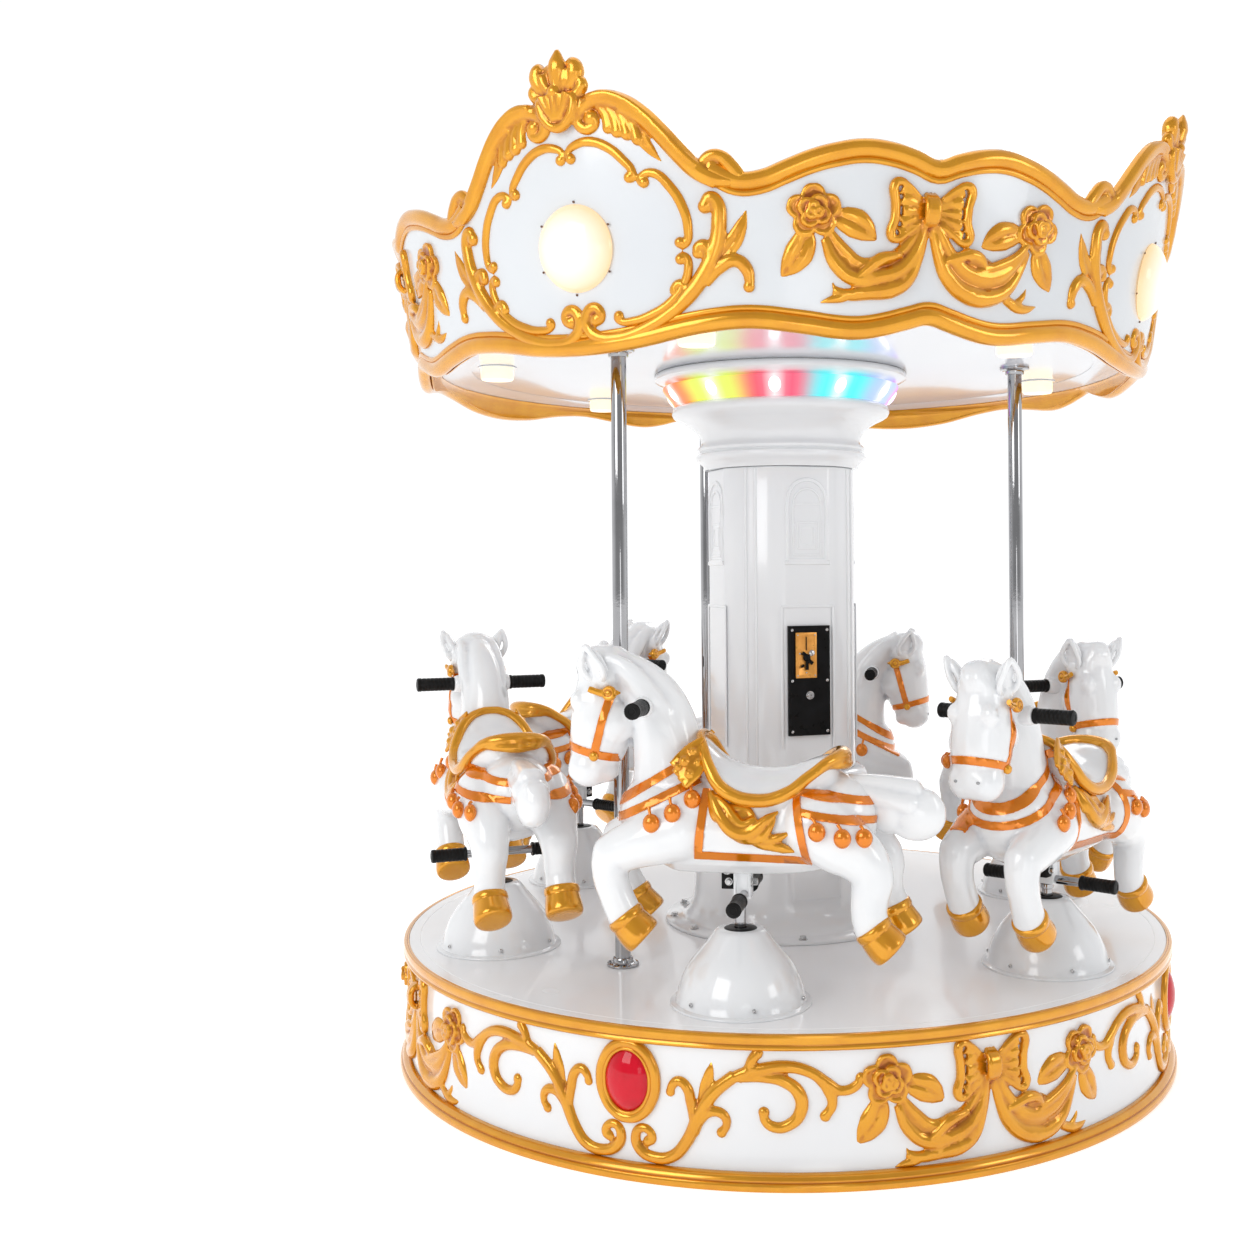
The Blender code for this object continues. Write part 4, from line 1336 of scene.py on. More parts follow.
@dataclass
class CoinPanel:
    """The black service plate with its coin mechanism, lock and screws."""

    turn: float
    flat: float
    wide: float = 0.125
    high: float = 0.31
    low: float = 0.898
    thick: float = 0.012

    def build(self) -> None:
        """Build the plate and what is on it, facing -Y, and turn it to its face."""
        face = -self.flat - HAIR
        front = face - self.thick
        plate = slab((0, face - self.thick / 2, self.low + self.high / 2),
                     (self.wide, self.thick, self.high))
        with editing(plate):
            select_faces(plate, lambda side: side.normal.y < -0.9)
            bpy.ops.mesh.inset(thickness=0.004, depth=0.0)
            bpy.ops.mesh.inset(thickness=0.001, depth=-0.0012)
        rounded(plate, 0.0016)
        self.put(plate, "service_plate", PANEL, "coin_panel")
        middle = self.low + self.high
        shift = -0.0115
        self.put(self.block(shift, middle - 0.083, 0.0315, 0.064, front, 0.0045), "coin_face", BRASS)
        self.put(self.block(shift, middle - 0.05, 0.0014, 0.019, front - 0.004, 0.0012), "coin_slot", PANEL)
        hub = turned("hub", [(0, 0.01), (0.005, 0.01), (0.0085, 0.008), (0.0105, 0.004), (0.011, 0.0),
                             (0, 0.0)], 32)
        moved(hub, turn=(90, 0, 0))
        lever = [moved(hub, (shift + 0.001, front - 0.0036, middle - 0.09))]
        for place, size, lean in (
                ((-0.006, 0.008), (0.01, 0.005), 40.0), ((0.006, -0.008), (0.014, 0.005), 40.0),
                ((0.0, -0.022), (0.004, 0.012), 0.0), ((-0.013, -0.023), (0.005, 0.003), -35.0)):
            bar = self.block(0.0, 0.0, *size, 0.0, 0.006)
            lever.append(moved(bar, (shift + 0.001 + place[0], front - 0.004, middle - 0.09 + place[1]),
                               (0, lean, 0)))
        self.put(joined("return_lever", lever), "return_lever", PANEL)
        button = turned("button", [(0, 0.0045), (0.006, 0.0042), (0.0085, 0.0028), (0.0092, 0.0), (0, 0.0)],
                        32)
        moved(button, turn=(90, 0, 0))
        self.put(moved(button, (shift + 0.016, front - 0.004, middle - 0.077)), "coin_button", STEEL_SCREW)
        lock = [(0.0, 0.0), (0.015, 0.0), (0.0155, 0.001), (0.015, 0.003), (0.0125, 0.0042), (0.0105, 0.004),
                (0.01, 0.0085), (0.0085, 0.01), (0.0035, 0.01), (0.0032, 0.0065), (0.0, 0.0065)]
        barrel = moved(turned("lock", lock, 40), turn=(90, 0, 0), size=(0.78, 0.78, 0.9))
        self.put(moved(barrel, (0.0, front, middle - 0.196)), "panel_lock", STEEL_SCREW)
        heads = []
        head = screw(0.0042, 0.0028)
        for x in (-0.053, 0.053):
            for z in (0.012, self.high / 2, self.high - 0.012):
                heads.append(moved(copy_of(head), (x, front + 0.0012, self.low + z)))
        small = screw(0.0022, 0.0015)
        for x, z in ((-0.026, -0.026), (0.026, -0.026), (-0.026, -0.14), (0.026, -0.14), (0.0, -0.132),
                     (-0.02, -0.078)):
            heads.append(moved(copy_of(small), (shift + x, front - 0.004, middle + z)))
        discard(head, small)
        self.put(joined("panel_screws", heads), "panel_screws", STEEL_SCREW)

    def block(self, x: float, z: float, wide: float, high: float, back: float, rise: float) -> Piece:
        """A bevelled plate with a sunk middle.

        Args:
            x: its middle along the face.
            z: its middle's height.
            wide: half its width.
            high: half its height.
            back: the plane that it lies on.
            rise: its thickness.

        Returns:
            The plate.
        """
        plate = slab((x, back - rise / 2, z), (2 * wide, rise, 2 * high))
        with editing(plate):
            select_faces(plate, lambda side: side.normal.y < -0.9)
            bpy.ops.mesh.inset(thickness=min(wide, high) * 0.22, depth=0.0)
            bpy.ops.mesh.inset(thickness=min(wide, high) * 0.1, depth=-rise * 0.3)
        return rounded(plate, min(wide, high, rise) * 0.12)

    def put(self, piece: Piece, name: str, finish: Finish, node: str = "") -> None:
        """Turn a piece to the panel's face, name it and dress it.

        Args:
            piece: the piece, facing -Y.
            name: its name.
            finish: its finish.
            node: the CAD node that it replaces, if any.
        """
        moved(piece, turn=(0, 0, self.turn))
        dress(named(piece, name), finish, TURNTABLE, node)


@dataclass
class Poles:
    """Three chrome poles from the deck to the ceiling."""

    turn: float = -38.0
    circle: float = 0.682
    radius: float = 0.02

    def build(self) -> None:
        """Turn one pole with its flanges and copy it."""
        foot, r, top = ON_DECK, self.radius, UNDER_CEILING
        profile = [
            (0.0, foot), (0.0415, foot), (0.042, foot + 0.001), (0.042, foot + 0.005),
            (0.0405, foot + 0.007), (0.03, foot + 0.0078), (0.0268, foot + 0.01), (0.0262, foot + 0.019),
            (0.025, foot + 0.021), (r, foot + 0.0215), (r, 0.8), (r, 1.4), (r, top - 0.0215),
            (0.025, top - 0.021), (0.0262, top - 0.019), (0.0268, top - 0.01), (0.03, top - 0.0078),
            (0.0405, top - 0.007), (0.042, top - 0.005), (0.042, top), (0.0, top)]
        pole = turned("pole", profile, 48)
        heads = []
        head = moved(screw(0.004, 0.003), turn=(-90, 0, 0))
        for azimuth in (30, 150, 270):
            heads.append(moved(copy_of(head), at_azimuth(0.0345, azimuth, foot + 0.0068)))
        discard(head)
        shape = joined("pole", heads + [pole])
        for number in range(3):
            piece = moved(copy_of(shape, f"chrome_pole_{number + 1}"),
                          at_azimuth(self.circle, self.turn + 120.0 * number))
            dress(piece, CHROME, TURNTABLE, f"pole_{number + 1}")
        discard(shape)


# Horses

def limb(points: Sequence[Station], girth: float = 1.0) -> list[Piece]:
    """A swelling form along a curve, rounded at both ends.

    Args:
        points: x, y, z and radius along it.
        girth: width sideways as a share of the height.

    Returns:
        Its overlapping parts.
    """
    middle = sum(point[1] for point in points) / len(points)
    parts = [tube([(x, y - middle, z, r) for x, y, z, r in points], 6, 6)]
    parts += [ball((x, y - middle, z), (r, r, r)) for x, y, z, r in (points[0], points[-1])]
    return [moved(part, (0, middle, 0), size=(1, girth, 1)) for part in parts]


def strands(points: Sequence[Station], girth: float = 1.0) -> list[Piece]:
    """Six locks of hair that run side by side along a curve in the side plane.

    Args:
        points: x, y, z and radius along the middle of the hair.
        girth: width sideways as a share of the height.

    Returns:
        The locks.
    """
    locks = []
    for across, side in ((0.0, 0.52), (0.0, -0.52), (0.6, 0.18), (-0.6, 0.18), (0.6, -0.18), (-0.6, -0.18)):
        path = []
        for index, (x, y, z, r) in enumerate(points):
            before, after = points[max(0, index - 1)], points[min(len(points) - 1, index + 1)]
            along = Vector((after[0] - before[0], after[2] - before[2])).normalized()
            path.append((x - along.y * across * r, y + side * r * girth, z + along.x * across * r, r * 0.54))
        locks += limb(path)
    return locks


def aimed(obj: Piece, place: Point, up: Point, face: Point) -> Piece:
    """Turn a piece so that its +Z looks up one way and its -Y faces another, and put it in place.

    Args:
        obj: the piece, modelled round the origin.
        place: where its origin goes.
        up: direction of its +Z.
        face: direction that its -Y comes nearest to.

    Returns:
        The same object.
    """
    z = Vector(up).normalized()
    y = -(Vector(face) - z * Vector(face).dot(z)).normalized()
    basis = Matrix((y.cross(z), y, z)).transposed().to_euler()
    return moved(obj, place, [math.degrees(angle) for angle in basis])


def patch(body: Piece, *cuts: tuple[Spot, Spot]) -> Piece:
    """Copy the part of a skin that lies inside planes across the horse.

    Args:
        body: the skin.
        cuts: for each plane two points (x, z) on it; what lies to the left of the way from the first to the
            second is cut away.

    Returns:
        The patch.
    """
    piece = copy_of(body, "patch")
    for (x0, z0), (x1, z1) in cuts:
        with editing(piece):
            bpy.ops.mesh.bisect(plane_co=(x0, 0, z0), plane_no=(-(z1 - z0), 0, x1 - x0), clear_outer=True)
    return piece


def keep(obj: Piece, wanted: Callable[[bmesh.types.BMFace], bool]) -> Piece:
    """Delete the faces that fail a test, and return the object."""
    with editing(obj):
        select_faces(obj, lambda face: not wanted(face))
        bpy.ops.mesh.delete(type="FACE")
    return obj


def raised(obj: Piece, height: float, round_off: float = 0.0012) -> Piece:
    """Give a patch of skin a height and soften its edge.

    Args:
        obj: the patch.
        height: how far it stands out.
        round_off: width of the softened edge.

    Returns:
        The same object.
    """
    with editing(obj, "FACE"):
        bpy.ops.transform.shrink_fatten(value=-0.0015)
        bpy.ops.mesh.extrude_region_shrink_fatten(TRANSFORM_OT_shrink_fatten={"value": height + 0.0015})
    return rounded(obj, round_off, degrees=50)


@dataclass
class Harness:
    """Everything gilded and strapped onto one horse, in the horse's own frame with +X ahead."""

    skin: Piece

    def band(self, start: Spot, end: Spot, wide: float, wanted: Callable[[Vector], bool]) -> Piece:
        """Lay a strap round the body along a line in the side view.

        Args:
            start: x and z of a point on the strap's middle.
            end: another, further back.
            wide: width of the strap.
            wanted: says of a place whether the strap is kept there.

        Returns:
            The strap.
        """
        along = Vector((end[0] - start[0], end[1] - start[1])).normalized()
        side = Vector((-along.y, along.x)) * wide / 2
        a, b = Vector(start), Vector(end)
        strap = patch(self.skin, (tuple(a + side), tuple(b + side)), (tuple(b - side), tuple(a - side)))
        return raised(keep(strap, lambda face: wanted(face.calc_center_median())), 0.0032)

    def straps(self) -> list[Piece]:
        """Lay the collar's two bands, the breeching's two bands and the head's straps.

        Returns:
            The straps.
        """
        def neck(spot: Vector) -> bool:
            """Keep the chest and the neck."""
            return 0.082 < spot.x < 0.31 and 0.7 < spot.z < 1.0

        def rump(spot: Vector) -> bool:
            """Keep the rump as far as the tail."""
            return spot.x < -0.15 and not (abs(spot.y) < 0.033 and spot.x < -0.24) and spot.z > 0.74

        def muzzle(spot: Vector) -> bool:
            """Keep the nose and the cheeks."""
            return spot.x > 0.288

        def cheek(spot: Vector) -> bool:
            """Keep the sides of the head."""
            return 0.925 < spot.z < 1.07 and abs(spot.y) > 0.03

        return [self.band((0.255, 0.836), (0.1, 0.93), 0.019, neck),
                self.band((0.255, 0.796), (0.09, 0.876), 0.019, neck),
                self.band((-0.163, 0.8575), (-0.322, 0.829), 0.0175, rump),
                self.band((-0.163, 0.8155), (-0.322, 0.788), 0.0175, rump),
                self.band((0.418, 0.954), (0.288, 0.9215), 0.0195, muzzle),
                self.band((0.3, 1.07), (0.338, 0.93), 0.0195, cheek)]

    def blanket(self) -> tuple[Piece, Piece]:
        """Lay the blanket's white field and its gilded border on both flanks.

        Returns:
            Field and border.
        """
        outer = ((0.072, 0.862), (0.092, 0.701), (-0.183, 0.692), (-0.155, 0.862))
        inner = ((0.052, 0.862), (0.0705, 0.719), (-0.163, 0.711), (-0.137, 0.862))

        def flank(face: bmesh.types.BMFace) -> bool:
            """Keep the two sides."""
            return abs(face.calc_center_median().y) > 0.075

        o, i = outer, inner
        top = ((-0.2, 0.858), (0.1, 0.858))
        field = keep(patch(self.skin, (i[0], i[1]), (i[1], i[2]), (i[2], i[3]), top), flank)
        strips = [keep(patch(self.skin, *cuts), flank) for cuts in (
            ((o[0], o[1]), (i[1], i[0]), (o[1], o[2]), top), ((o[2], o[3]), (i[3], i[2]), (o[1], o[2]), top),
            ((o[1], o[2]), (i[2], i[1]), (i[0], i[1]), (i[2], i[3])))]
        border = raised(joined("border", strips), 0.0045, 0.0014)
        return raised(field, 0.0022), border

    def both(self, parts: Sequence[Piece]) -> list[Piece]:
        """Mirror parts of the near side to the far side as well."""
        return [mirrored(part, "Y") for part in parts]

    def rosettes(self) -> list[Piece]:
        """Model the rosette with its leaf and the button at the noseband.

        Returns:
            The parts, on both sides.
        """
        disc = [(0.0, 0.0105), (0.0035, 0.011), (0.006, 0.0098), (0.0075, 0.0082), (0.0095, 0.008),
                (0.0115, 0.0094), (0.014, 0.0088), (0.017, 0.006), (0.0188, 0.001), (0.018, -0.004),
                (0.0, -0.004)]
        parts = [aimed(turned("disc", disc, 32), (0.298, 0.0745, 1.078), (0.1, 1.0, 0.12), (1, 0, 0))]
        petals = relief([(0.0, 0.0, 0.012), (0.018, 0.003, 0.0095), (0.032, 0.007, 0.0078),
                         (0.042, 0.011, 0.0084), (0.049, 0.014, 0.007)])
        parts.append(aimed(petals, (0.3, 0.0725, 1.076), (0.0, 0.2, 1.0), (0.08, 1.0, 0.0)))
        thorn = relief([(0.0, 0.0, 0.011), (-0.017, 0.001, 0.008), (-0.029, 0.001, 0.0022)])
        parts.append(aimed(thorn, (0.298, 0.0745, 1.078), (0.0, 0.12, 1.0), (0.1, 1.0, 0.0)))
        parts = [mirror_x(part, 0.299) if index else part for index, part in enumerate(parts)]
        button = turned("button", [(0, 0.0085), (0.005, 0.0082), (0.0095, 0.006), (0.0118, 0.002),
                                   (0.0115, -0.004), (0, -0.004)], 24)
        parts.append(aimed(button, (0.338, 0.07, 0.928), (0.25, 1.0, -0.1), (1, 0, 0)))
        return self.both(parts)

    def tassels(self) -> list[Piece]:
        """Hang the round tassels on their cords.

        Returns:
            The tassels, on both sides.
        """
        parts = []
        graph = bpy.context.evaluated_depsgraph_get()
        for x, z, cord in ((0.185, 0.785, (0.006, 0.036)), (0.137, 0.808, (0.007, 0.036)),
                           (0.094, 0.838, (0.004, 0.034)), (-0.199, 0.776, (0.01, 0.03)),
                           (-0.256, 0.762, (0.01, 0.03)), (-0.303, 0.76, (0.007, 0.026))):
            y = self.skin.ray_cast((x, 0.3, z), (0.0, -1.0, 0.0), depsgraph=graph)[1].y + 0.006
            parts.append(ball((x, y, z), (0.0205, 0.016, 0.0225), 16))
            parts.append(tube([(x, y + 0.002, z + 0.014, 0.0055),
                               (x + cord[0] * 0.5, y + 0.001, z + 0.024, 0.0036),
                               (x + cord[0], y - 0.004, z + cord[1], 0.0046)], 2, 3))
        return self.both(parts)

    def saddle_roll(self) -> Piece:
        """Sweep the gilded roll along the saddle's edge, thick where it curls over the back.

        Returns:
            The roll with its carved cantle.
        """
        side = ((0.086, 0.036, 0.973, 0.0115), (0.075, 0.07, 0.953, 0.0135), (0.055, 0.099, 0.908, 0.0155),
                (0.023, 0.115, 0.864, 0.0165), (-0.052, 0.1215, 0.8385, 0.017),
                (-0.128, 0.1175, 0.856, 0.016), (-0.174, 0.104, 0.891, 0.014), (-0.206, 0.084, 0.912, 0.013),
                (-0.232, 0.048, 0.922, 0.014))
        loop = list(side) + [(-0.242, 0.0, 0.924, 0.016)] + [(x, -y, z, r) for x, y, z, r in side[::-1]]
        loop.append((0.089, 0.0, 0.978, 0.0115))
        parts = [tube(loop, 4, 6, ring=True)]
        crescent = ((-0.188, 0.098, 0.904, 0.011), (-0.216, 0.08, 0.922, 0.0135),
                    (-0.238, 0.046, 0.93, 0.018), (-0.247, 0.0, 0.931, 0.021))
        lower = ((-0.222, 0.074, 0.914, 0.009), (-0.246, 0.044, 0.914, 0.0125), (-0.256, 0.0, 0.912, 0.015))
        for row in (crescent, lower):
            parts.append(tube(list(row) + [(x, -y, z, r) for x, y, z, r in row[-2::-1]], 4, 6))
        return carved("saddle_roll", parts, grain=0.0038, budget=6500)

    def shield(self) -> list[Piece]:
        """Model the embossed shield between the collar and the saddle.

        Returns:
            The shield's parts on both sides, to be carved into one.
        """
        flat = [
            relief(path, 0.62)
            for path in (((-0.03, 0.064, 0.007), (-0.004, 0.04, 0.0125), (0.02, 0.016, 0.0125),
                          (0.04, -0.004, 0.008)),
                         ((-0.032, 0.044, 0.008), (-0.01, 0.02, 0.0135), (0.012, -0.004, 0.0135),
                          (0.032, -0.024, 0.009)),
                         ((-0.034, 0.02, 0.008), (-0.016, -0.002, 0.0135), (0.004, -0.024, 0.013),
                          (0.018, -0.042, 0.009)),
                         ((-0.034, -0.006, 0.008), (-0.02, -0.024, 0.012), (-0.004, -0.042, 0.011),
                          (0.006, -0.056, 0.008)))]
        flat += [boss(0.01, 0.004, 0.013, out=0.014, sink=0.003),
                 boss(-0.008, 0.028, 0.009, out=0.012, sink=0.003),
                 boss(-0.004, -0.026, 0.0105, out=0.012, sink=0.003),
                 boss(0.024, -0.01, 0.008, out=0.011, sink=0.002),
                 boss(-0.022, 0.002, 0.008, out=0.011, sink=0.002)]
        plate = boss(0.0, -0.002, 0.03, 0.05, 0.009)
        casting = joined("shield", flat + [plate])
        aimed(casting, (0.104, 0.0985, 0.918), (0.0, -0.42, 0.9), (0.05, 1.0, 0.0))
        return self.both([mirror_x(casting, 0.104)])

    def drapery(self) -> Piece:
        """Carve the drapery that hangs from the saddle over the blanket.

        Returns:
            The drapery on both sides.
        """
        folds = (
            ((0.052, 0.858, 0.01), (0.04, 0.828, 0.012), (0.022, 0.796, 0.014), (-0.004, 0.77, 0.0155),
             (-0.034, 0.764, 0.016), (-0.06, 0.778, 0.014), (-0.084, 0.798, 0.01), (-0.108, 0.814, 0.003)),
            ((0.05, 0.85, 0.009), (0.045, 0.82, 0.01), (0.036, 0.8, 0.011), (0.026, 0.793, 0.009)),
            ((0.04, 0.846, 0.009), (0.014, 0.822, 0.01), (-0.006, 0.797, 0.011), (-0.024, 0.784, 0.01),
             (-0.048, 0.792, 0.009), (-0.056, 0.8, 0.005)),
            ((0.014, 0.828, 0.008), (-0.01, 0.822, 0.009), (-0.034, 0.82, 0.008), (-0.046, 0.808, 0.007),
             (-0.054, 0.794, 0.006)),
            ((0.012, 0.778, 0.009), (-0.016, 0.756, 0.011), (-0.044, 0.752, 0.012), (-0.068, 0.758, 0.013),
             (-0.088, 0.78, 0.009), (-0.1, 0.802, 0.004)),
            ((-0.046, 0.748, 0.008), (-0.07, 0.738, 0.01), (-0.096, 0.736, 0.012), (-0.12, 0.73, 0.011),
             (-0.144, 0.722, 0.003)),
            ((-0.056, 0.746, 0.008), (-0.082, 0.75, 0.01), (-0.108, 0.756, 0.01), (-0.134, 0.768, 0.003)))
        outs = (0.004, 0.0, 0.006, -0.001, 0.002, 0.0, 0.001)
        flat = []
        for fold, out in zip(folds, outs):
            piece = relief([(-(z - 0.766), x, r * 1.12) for x, z, r in fold], 0.95)
            flat.append(moved(piece, (0, -out, 0)))
        flat.append(boss(-0.036, -0.026, 0.02, 0.024, 0.006))
        casting = carved("drapery", flat, rounds=2, budget=3600)
        wrap(casting, 0.1262)
        moved(casting, (0, 0, 0.766), (0, 90, 0))
        return mirrored(casting, "Y")


def mirror_x(obj: Piece, middle: float) -> Piece:
    """Mirror a piece about a plane across X, with its faces outwards.

    Args:
        obj: the piece.
        middle: where on X the plane is.

    Returns:
        The same object.
    """
    moved(obj, (-middle, 0, 0))
    moved(obj, size=(-1, 1, 1))
    moved(obj, (middle, 0, 0))
    with editing(obj):
        bpy.ops.mesh.normals_make_consistent(inside=False)
    return obj


@dataclass
class Horses:
    """Six galloping horses on their posts, modelled once with +X ahead and copied round the deck."""

    turn: float = -7.0
    circle: float = 0.8525
    lifts: tuple[float, ...] = (0.0, -0.04, -0.035, -0.04, 0.0, 0.0)

    def build(self) -> None:
        """Model one horse with its harness and its carrier, and place six of them."""
        skin = self.body()
        harness = Harness(skin)
        field, border = harness.blanket()
        straps = harness.straps() + harness.tassels() + [border]
        gold = harness.rosettes() + [harness.saddle_roll(), harness.drapery()]
        gold.append(carved("shields", harness.shield(), grain=0.0028, rounds=1, budget=3200))
        hooves = [self.hoof(*place) for place in (
            ((0.2615, 0.085, 0.558), (-0.62, 0.0, -0.785)), ((0.28, -0.085, 0.575), (-0.56, 0.0, -0.83)),
            ((-0.318, 0.088, 0.5465), (-0.6, 0.0, -0.8)), ((-0.356, -0.088, 0.56), (-0.42, 0.0, -0.91)))]
        ears = [self.ear(side) for side in (-1, 1)]
        white = joined("white", ears + [self.tail(), thinned(field, 4000), thinned(skin, 25000)])
        pieces = (
            (white, "horse_white", HORSE_WHITE, "horse_{}"),
            (joined("gold", gold + hooves), "horse_gold", GOLD, ""),
            (thinned(joined("straps", straps), 14000), "horse_straps", HARNESS_GOLD, ""),
            (self.nostrils(), "horse_nostrils", NOSTRIL_SHADE, ""),
            (self.grips(), "hand_grips", RUBBER, "handlebar_{}"), (self.bar(), "hand_bar", HORSE_WHITE, ""),
            (self.post(), "post", CHROME, "carrier_{}"), (self.bracket(), "bracket", WHITE, ""),
            (self.plate(), "bracket_plate", PANEL, ""), (self.foot_grips(), "foot_grips", RUBBER, ""),
            (self.bolts(), "bracket_bolts", STEEL_SCREW, ""))
        for number in range(1, 7):
            azimuth = self.turn + SIXTH * (number - 1)
            for piece, name, finish, node in pieces:
                part = moved(copy_of(piece, f"{name}_{number}"), turn=(0, 0, azimuth + 180.0))
                moved(part, at_azimuth(self.circle, azimuth, self.lifts[number - 1]))
                crease = CARVED_CREASE if finish in (GOLD, HARNESS_GOLD, HORSE_WHITE) else TURNED_CREASE
                dress(part, finish, f"horse_unit_{number}", node.format(number), crease)
        discard(*(piece for piece, *_ in pieces))

    def body(self) -> Piece:
        """Model the white body from swellings and fuse them.

        Returns:
            The skin.
        """
        parts = limb([(-0.232, 0, 0.79, 0.1), (-0.2, 0, 0.78, 0.116), (-0.14, 0, 0.772, 0.121),
                      (-0.06, 0, 0.766, 0.119), (0.05, 0, 0.768, 0.122), (0.13, 0, 0.776, 0.128),
                      (0.178, 0, 0.783, 0.113)], 1.01)
        parts += limb([(0.146, 0, 0.8, 0.114), (0.158, 0, 0.862, 0.102), (0.17, 0, 0.93, 0.088),
                       (0.182, 0, 0.994, 0.079), (0.208, 0, 1.05, 0.069), (0.253, 0, 1.094, 0.062),
                       (0.3, 0, 1.112, 0.061)], 0.83)
        parts += limb([(0.344, 0, 1.142, 0.047), (0.337, 0, 1.105, 0.058), (0.336, 0, 1.058, 0.069),
                       (0.337, 0, 1.01, 0.073), (0.341, 0, 0.96, 0.073), (0.351, 0, 0.925, 0.064),
                       (0.358, 0, 0.906, 0.057)], 1.02)
        parts += limb([(0.326, 0, 1.16, 0.027), (0.292, 0, 1.15, 0.028), (0.25, 0, 1.132, 0.031),
                       (0.208, 0, 1.105, 0.034), (0.174, 0, 1.07, 0.036), (0.146, 0, 1.02, 0.037),
                       (0.126, 0, 0.965, 0.036), (0.112, 0, 0.915, 0.03)], 1.2)
        parts.append(ball((0.312, 0, 1.134), (0.056, 0.063, 0.056)))
        for side in (-1, 1):
            parts += self.face(side)
            parts += limb([(0.306, side * 0.044, 1.158, 0.018), (0.268, side * 0.046, 1.136, 0.025),
                           (0.232, side * 0.05, 1.1, 0.029), (0.198, side * 0.054, 1.064, 0.026),
                           (0.168, side * 0.056, 1.04, 0.014)], 0.62)
            parts += limb([(0.25, side * 0.04, 1.12, 0.02), (0.205, side * 0.05, 1.07, 0.024),
                           (0.17, side * 0.058, 1.01, 0.022), (0.142, side * 0.064, 0.96, 0.012)], 0.55)
        parts += self.legs() + self.saddle()
        return carved("skin", parts, grain=0.0062, rounds=5, budget=200000)

    def tail(self) -> Piece:
        """Carve the tail: locks that run side by side into a rolled curl.

        Returns:
            The tail.
        """
        parts = strands([(-0.262, 0, 0.846, 0.036), (-0.305, 0, 0.842, 0.04), (-0.35, 0, 0.832, 0.046),
                         (-0.4, 0, 0.822, 0.05)], 0.9)
        parts += [ball((-0.418, 0, 0.795), (0.069, 0.044, 0.064)),
                  ball((-0.36, 0, 0.806), (0.06, 0.04, 0.06))]
        for side in (-1, 1):
            for reach, out, girth in ((0.048, 0.016, 0.0175), (0.025, 0.026, 0.016)):
                path = [(-0.412 - reach * math.cos(turn * ARC), side * out,
                         0.8 + reach * math.sin(turn * ARC), girth) for turn in range(-200, 61, 40)]
                parts += limb(path, 0.8)
        return carved("tail", parts, grain=0.0046, rounds=6, budget=7000)

    def face(self, side: int) -> list[Piece]:
        """Model cheek, muzzle, eye, brow and forelock of one side.

        Args:
            side: -1 or 1, along Y.

        Returns:
            Their overlapping parts.
        """
        parts = [ball((0.308, side * 0.026, 1.004), (0.06, 0.05, 0.058)),
                 ball((0.361, side * 0.027, 0.898), (0.05, 0.042, 0.049)),
                 ball((0.381, side * 0.046, 1.058), (0.02, 0.021, 0.026)),
                 ball((0.318, side * 0.052, 1.112), (0.03, 0.022, 0.032)),
                 ball((0.386, side * 0.029, 0.888), (0.026, 0.026, 0.024)),
                 ball((0.33, side * 0.012, 0.886), (0.036, 0.032, 0.029)),
                 ball((0.352, side * 0.022, 1.12), (0.036, 0.03, 0.045))]
        return parts + limb([(0.334, side * 0.012, 1.166, 0.02), (0.362, side * 0.014, 1.16, 0.022),
                             (0.38, side * 0.013, 1.14, 0.017), (0.386, side * 0.009, 1.12, 0.008)], 1.1)

    def legs(self) -> list[Piece]:
        """Model the four legs with their knees and fetlocks.

        Returns:
            Their overlapping parts.
        """
        near, far = 0.084, -0.084
        parts = limb([(0.13, near * 0.9, 0.76, 0.072), (0.19, near, 0.742, 0.066), (0.25, near, 0.72, 0.056),
                      (0.288, near, 0.7, 0.049), (0.296, near, 0.66, 0.0435), (0.284, near, 0.612, 0.0405),
                      (0.262, near, 0.56, 0.042)], 0.95)
        parts += limb([(0.136, far * 0.9, 0.76, 0.072), (0.2, far, 0.746, 0.066), (0.264, far, 0.726, 0.056),
                       (0.306, far, 0.708, 0.049), (0.315, far, 0.668, 0.0435), (0.303, far, 0.622, 0.0405),
                       (0.281, far, 0.577, 0.042)], 0.95)
        near, far = 0.087, -0.087
        parts += limb(
            [(-0.19, near * 0.9, 0.778, 0.082), (-0.24, near, 0.742, 0.074), (-0.292, near, 0.706, 0.062),
             (-0.317, near, 0.664, 0.052), (-0.313, near, 0.618, 0.0445), (-0.31, near, 0.58, 0.0425),
             (-0.317, near, 0.548, 0.043)], 0.92)
        parts += limb([(-0.19, far * 0.9, 0.778, 0.082), (-0.244, far, 0.744, 0.074),
                       (-0.302, far, 0.708, 0.062), (-0.334, far, 0.67, 0.052), (-0.338, far, 0.628, 0.0445),
                       (-0.342, far, 0.592, 0.0425), (-0.355, far, 0.562, 0.043)], 0.92)
        for x, y, z, r in ((0.302, 0.084, 0.706, 0.043), (0.32, -0.084, 0.714, 0.043),
                           (-0.326, 0.087, 0.68, 0.046), (-0.345, -0.087, 0.684, 0.046)):
            parts.append(ball((x, y, z), (r * 0.82, r, r * 0.95)))
        return parts

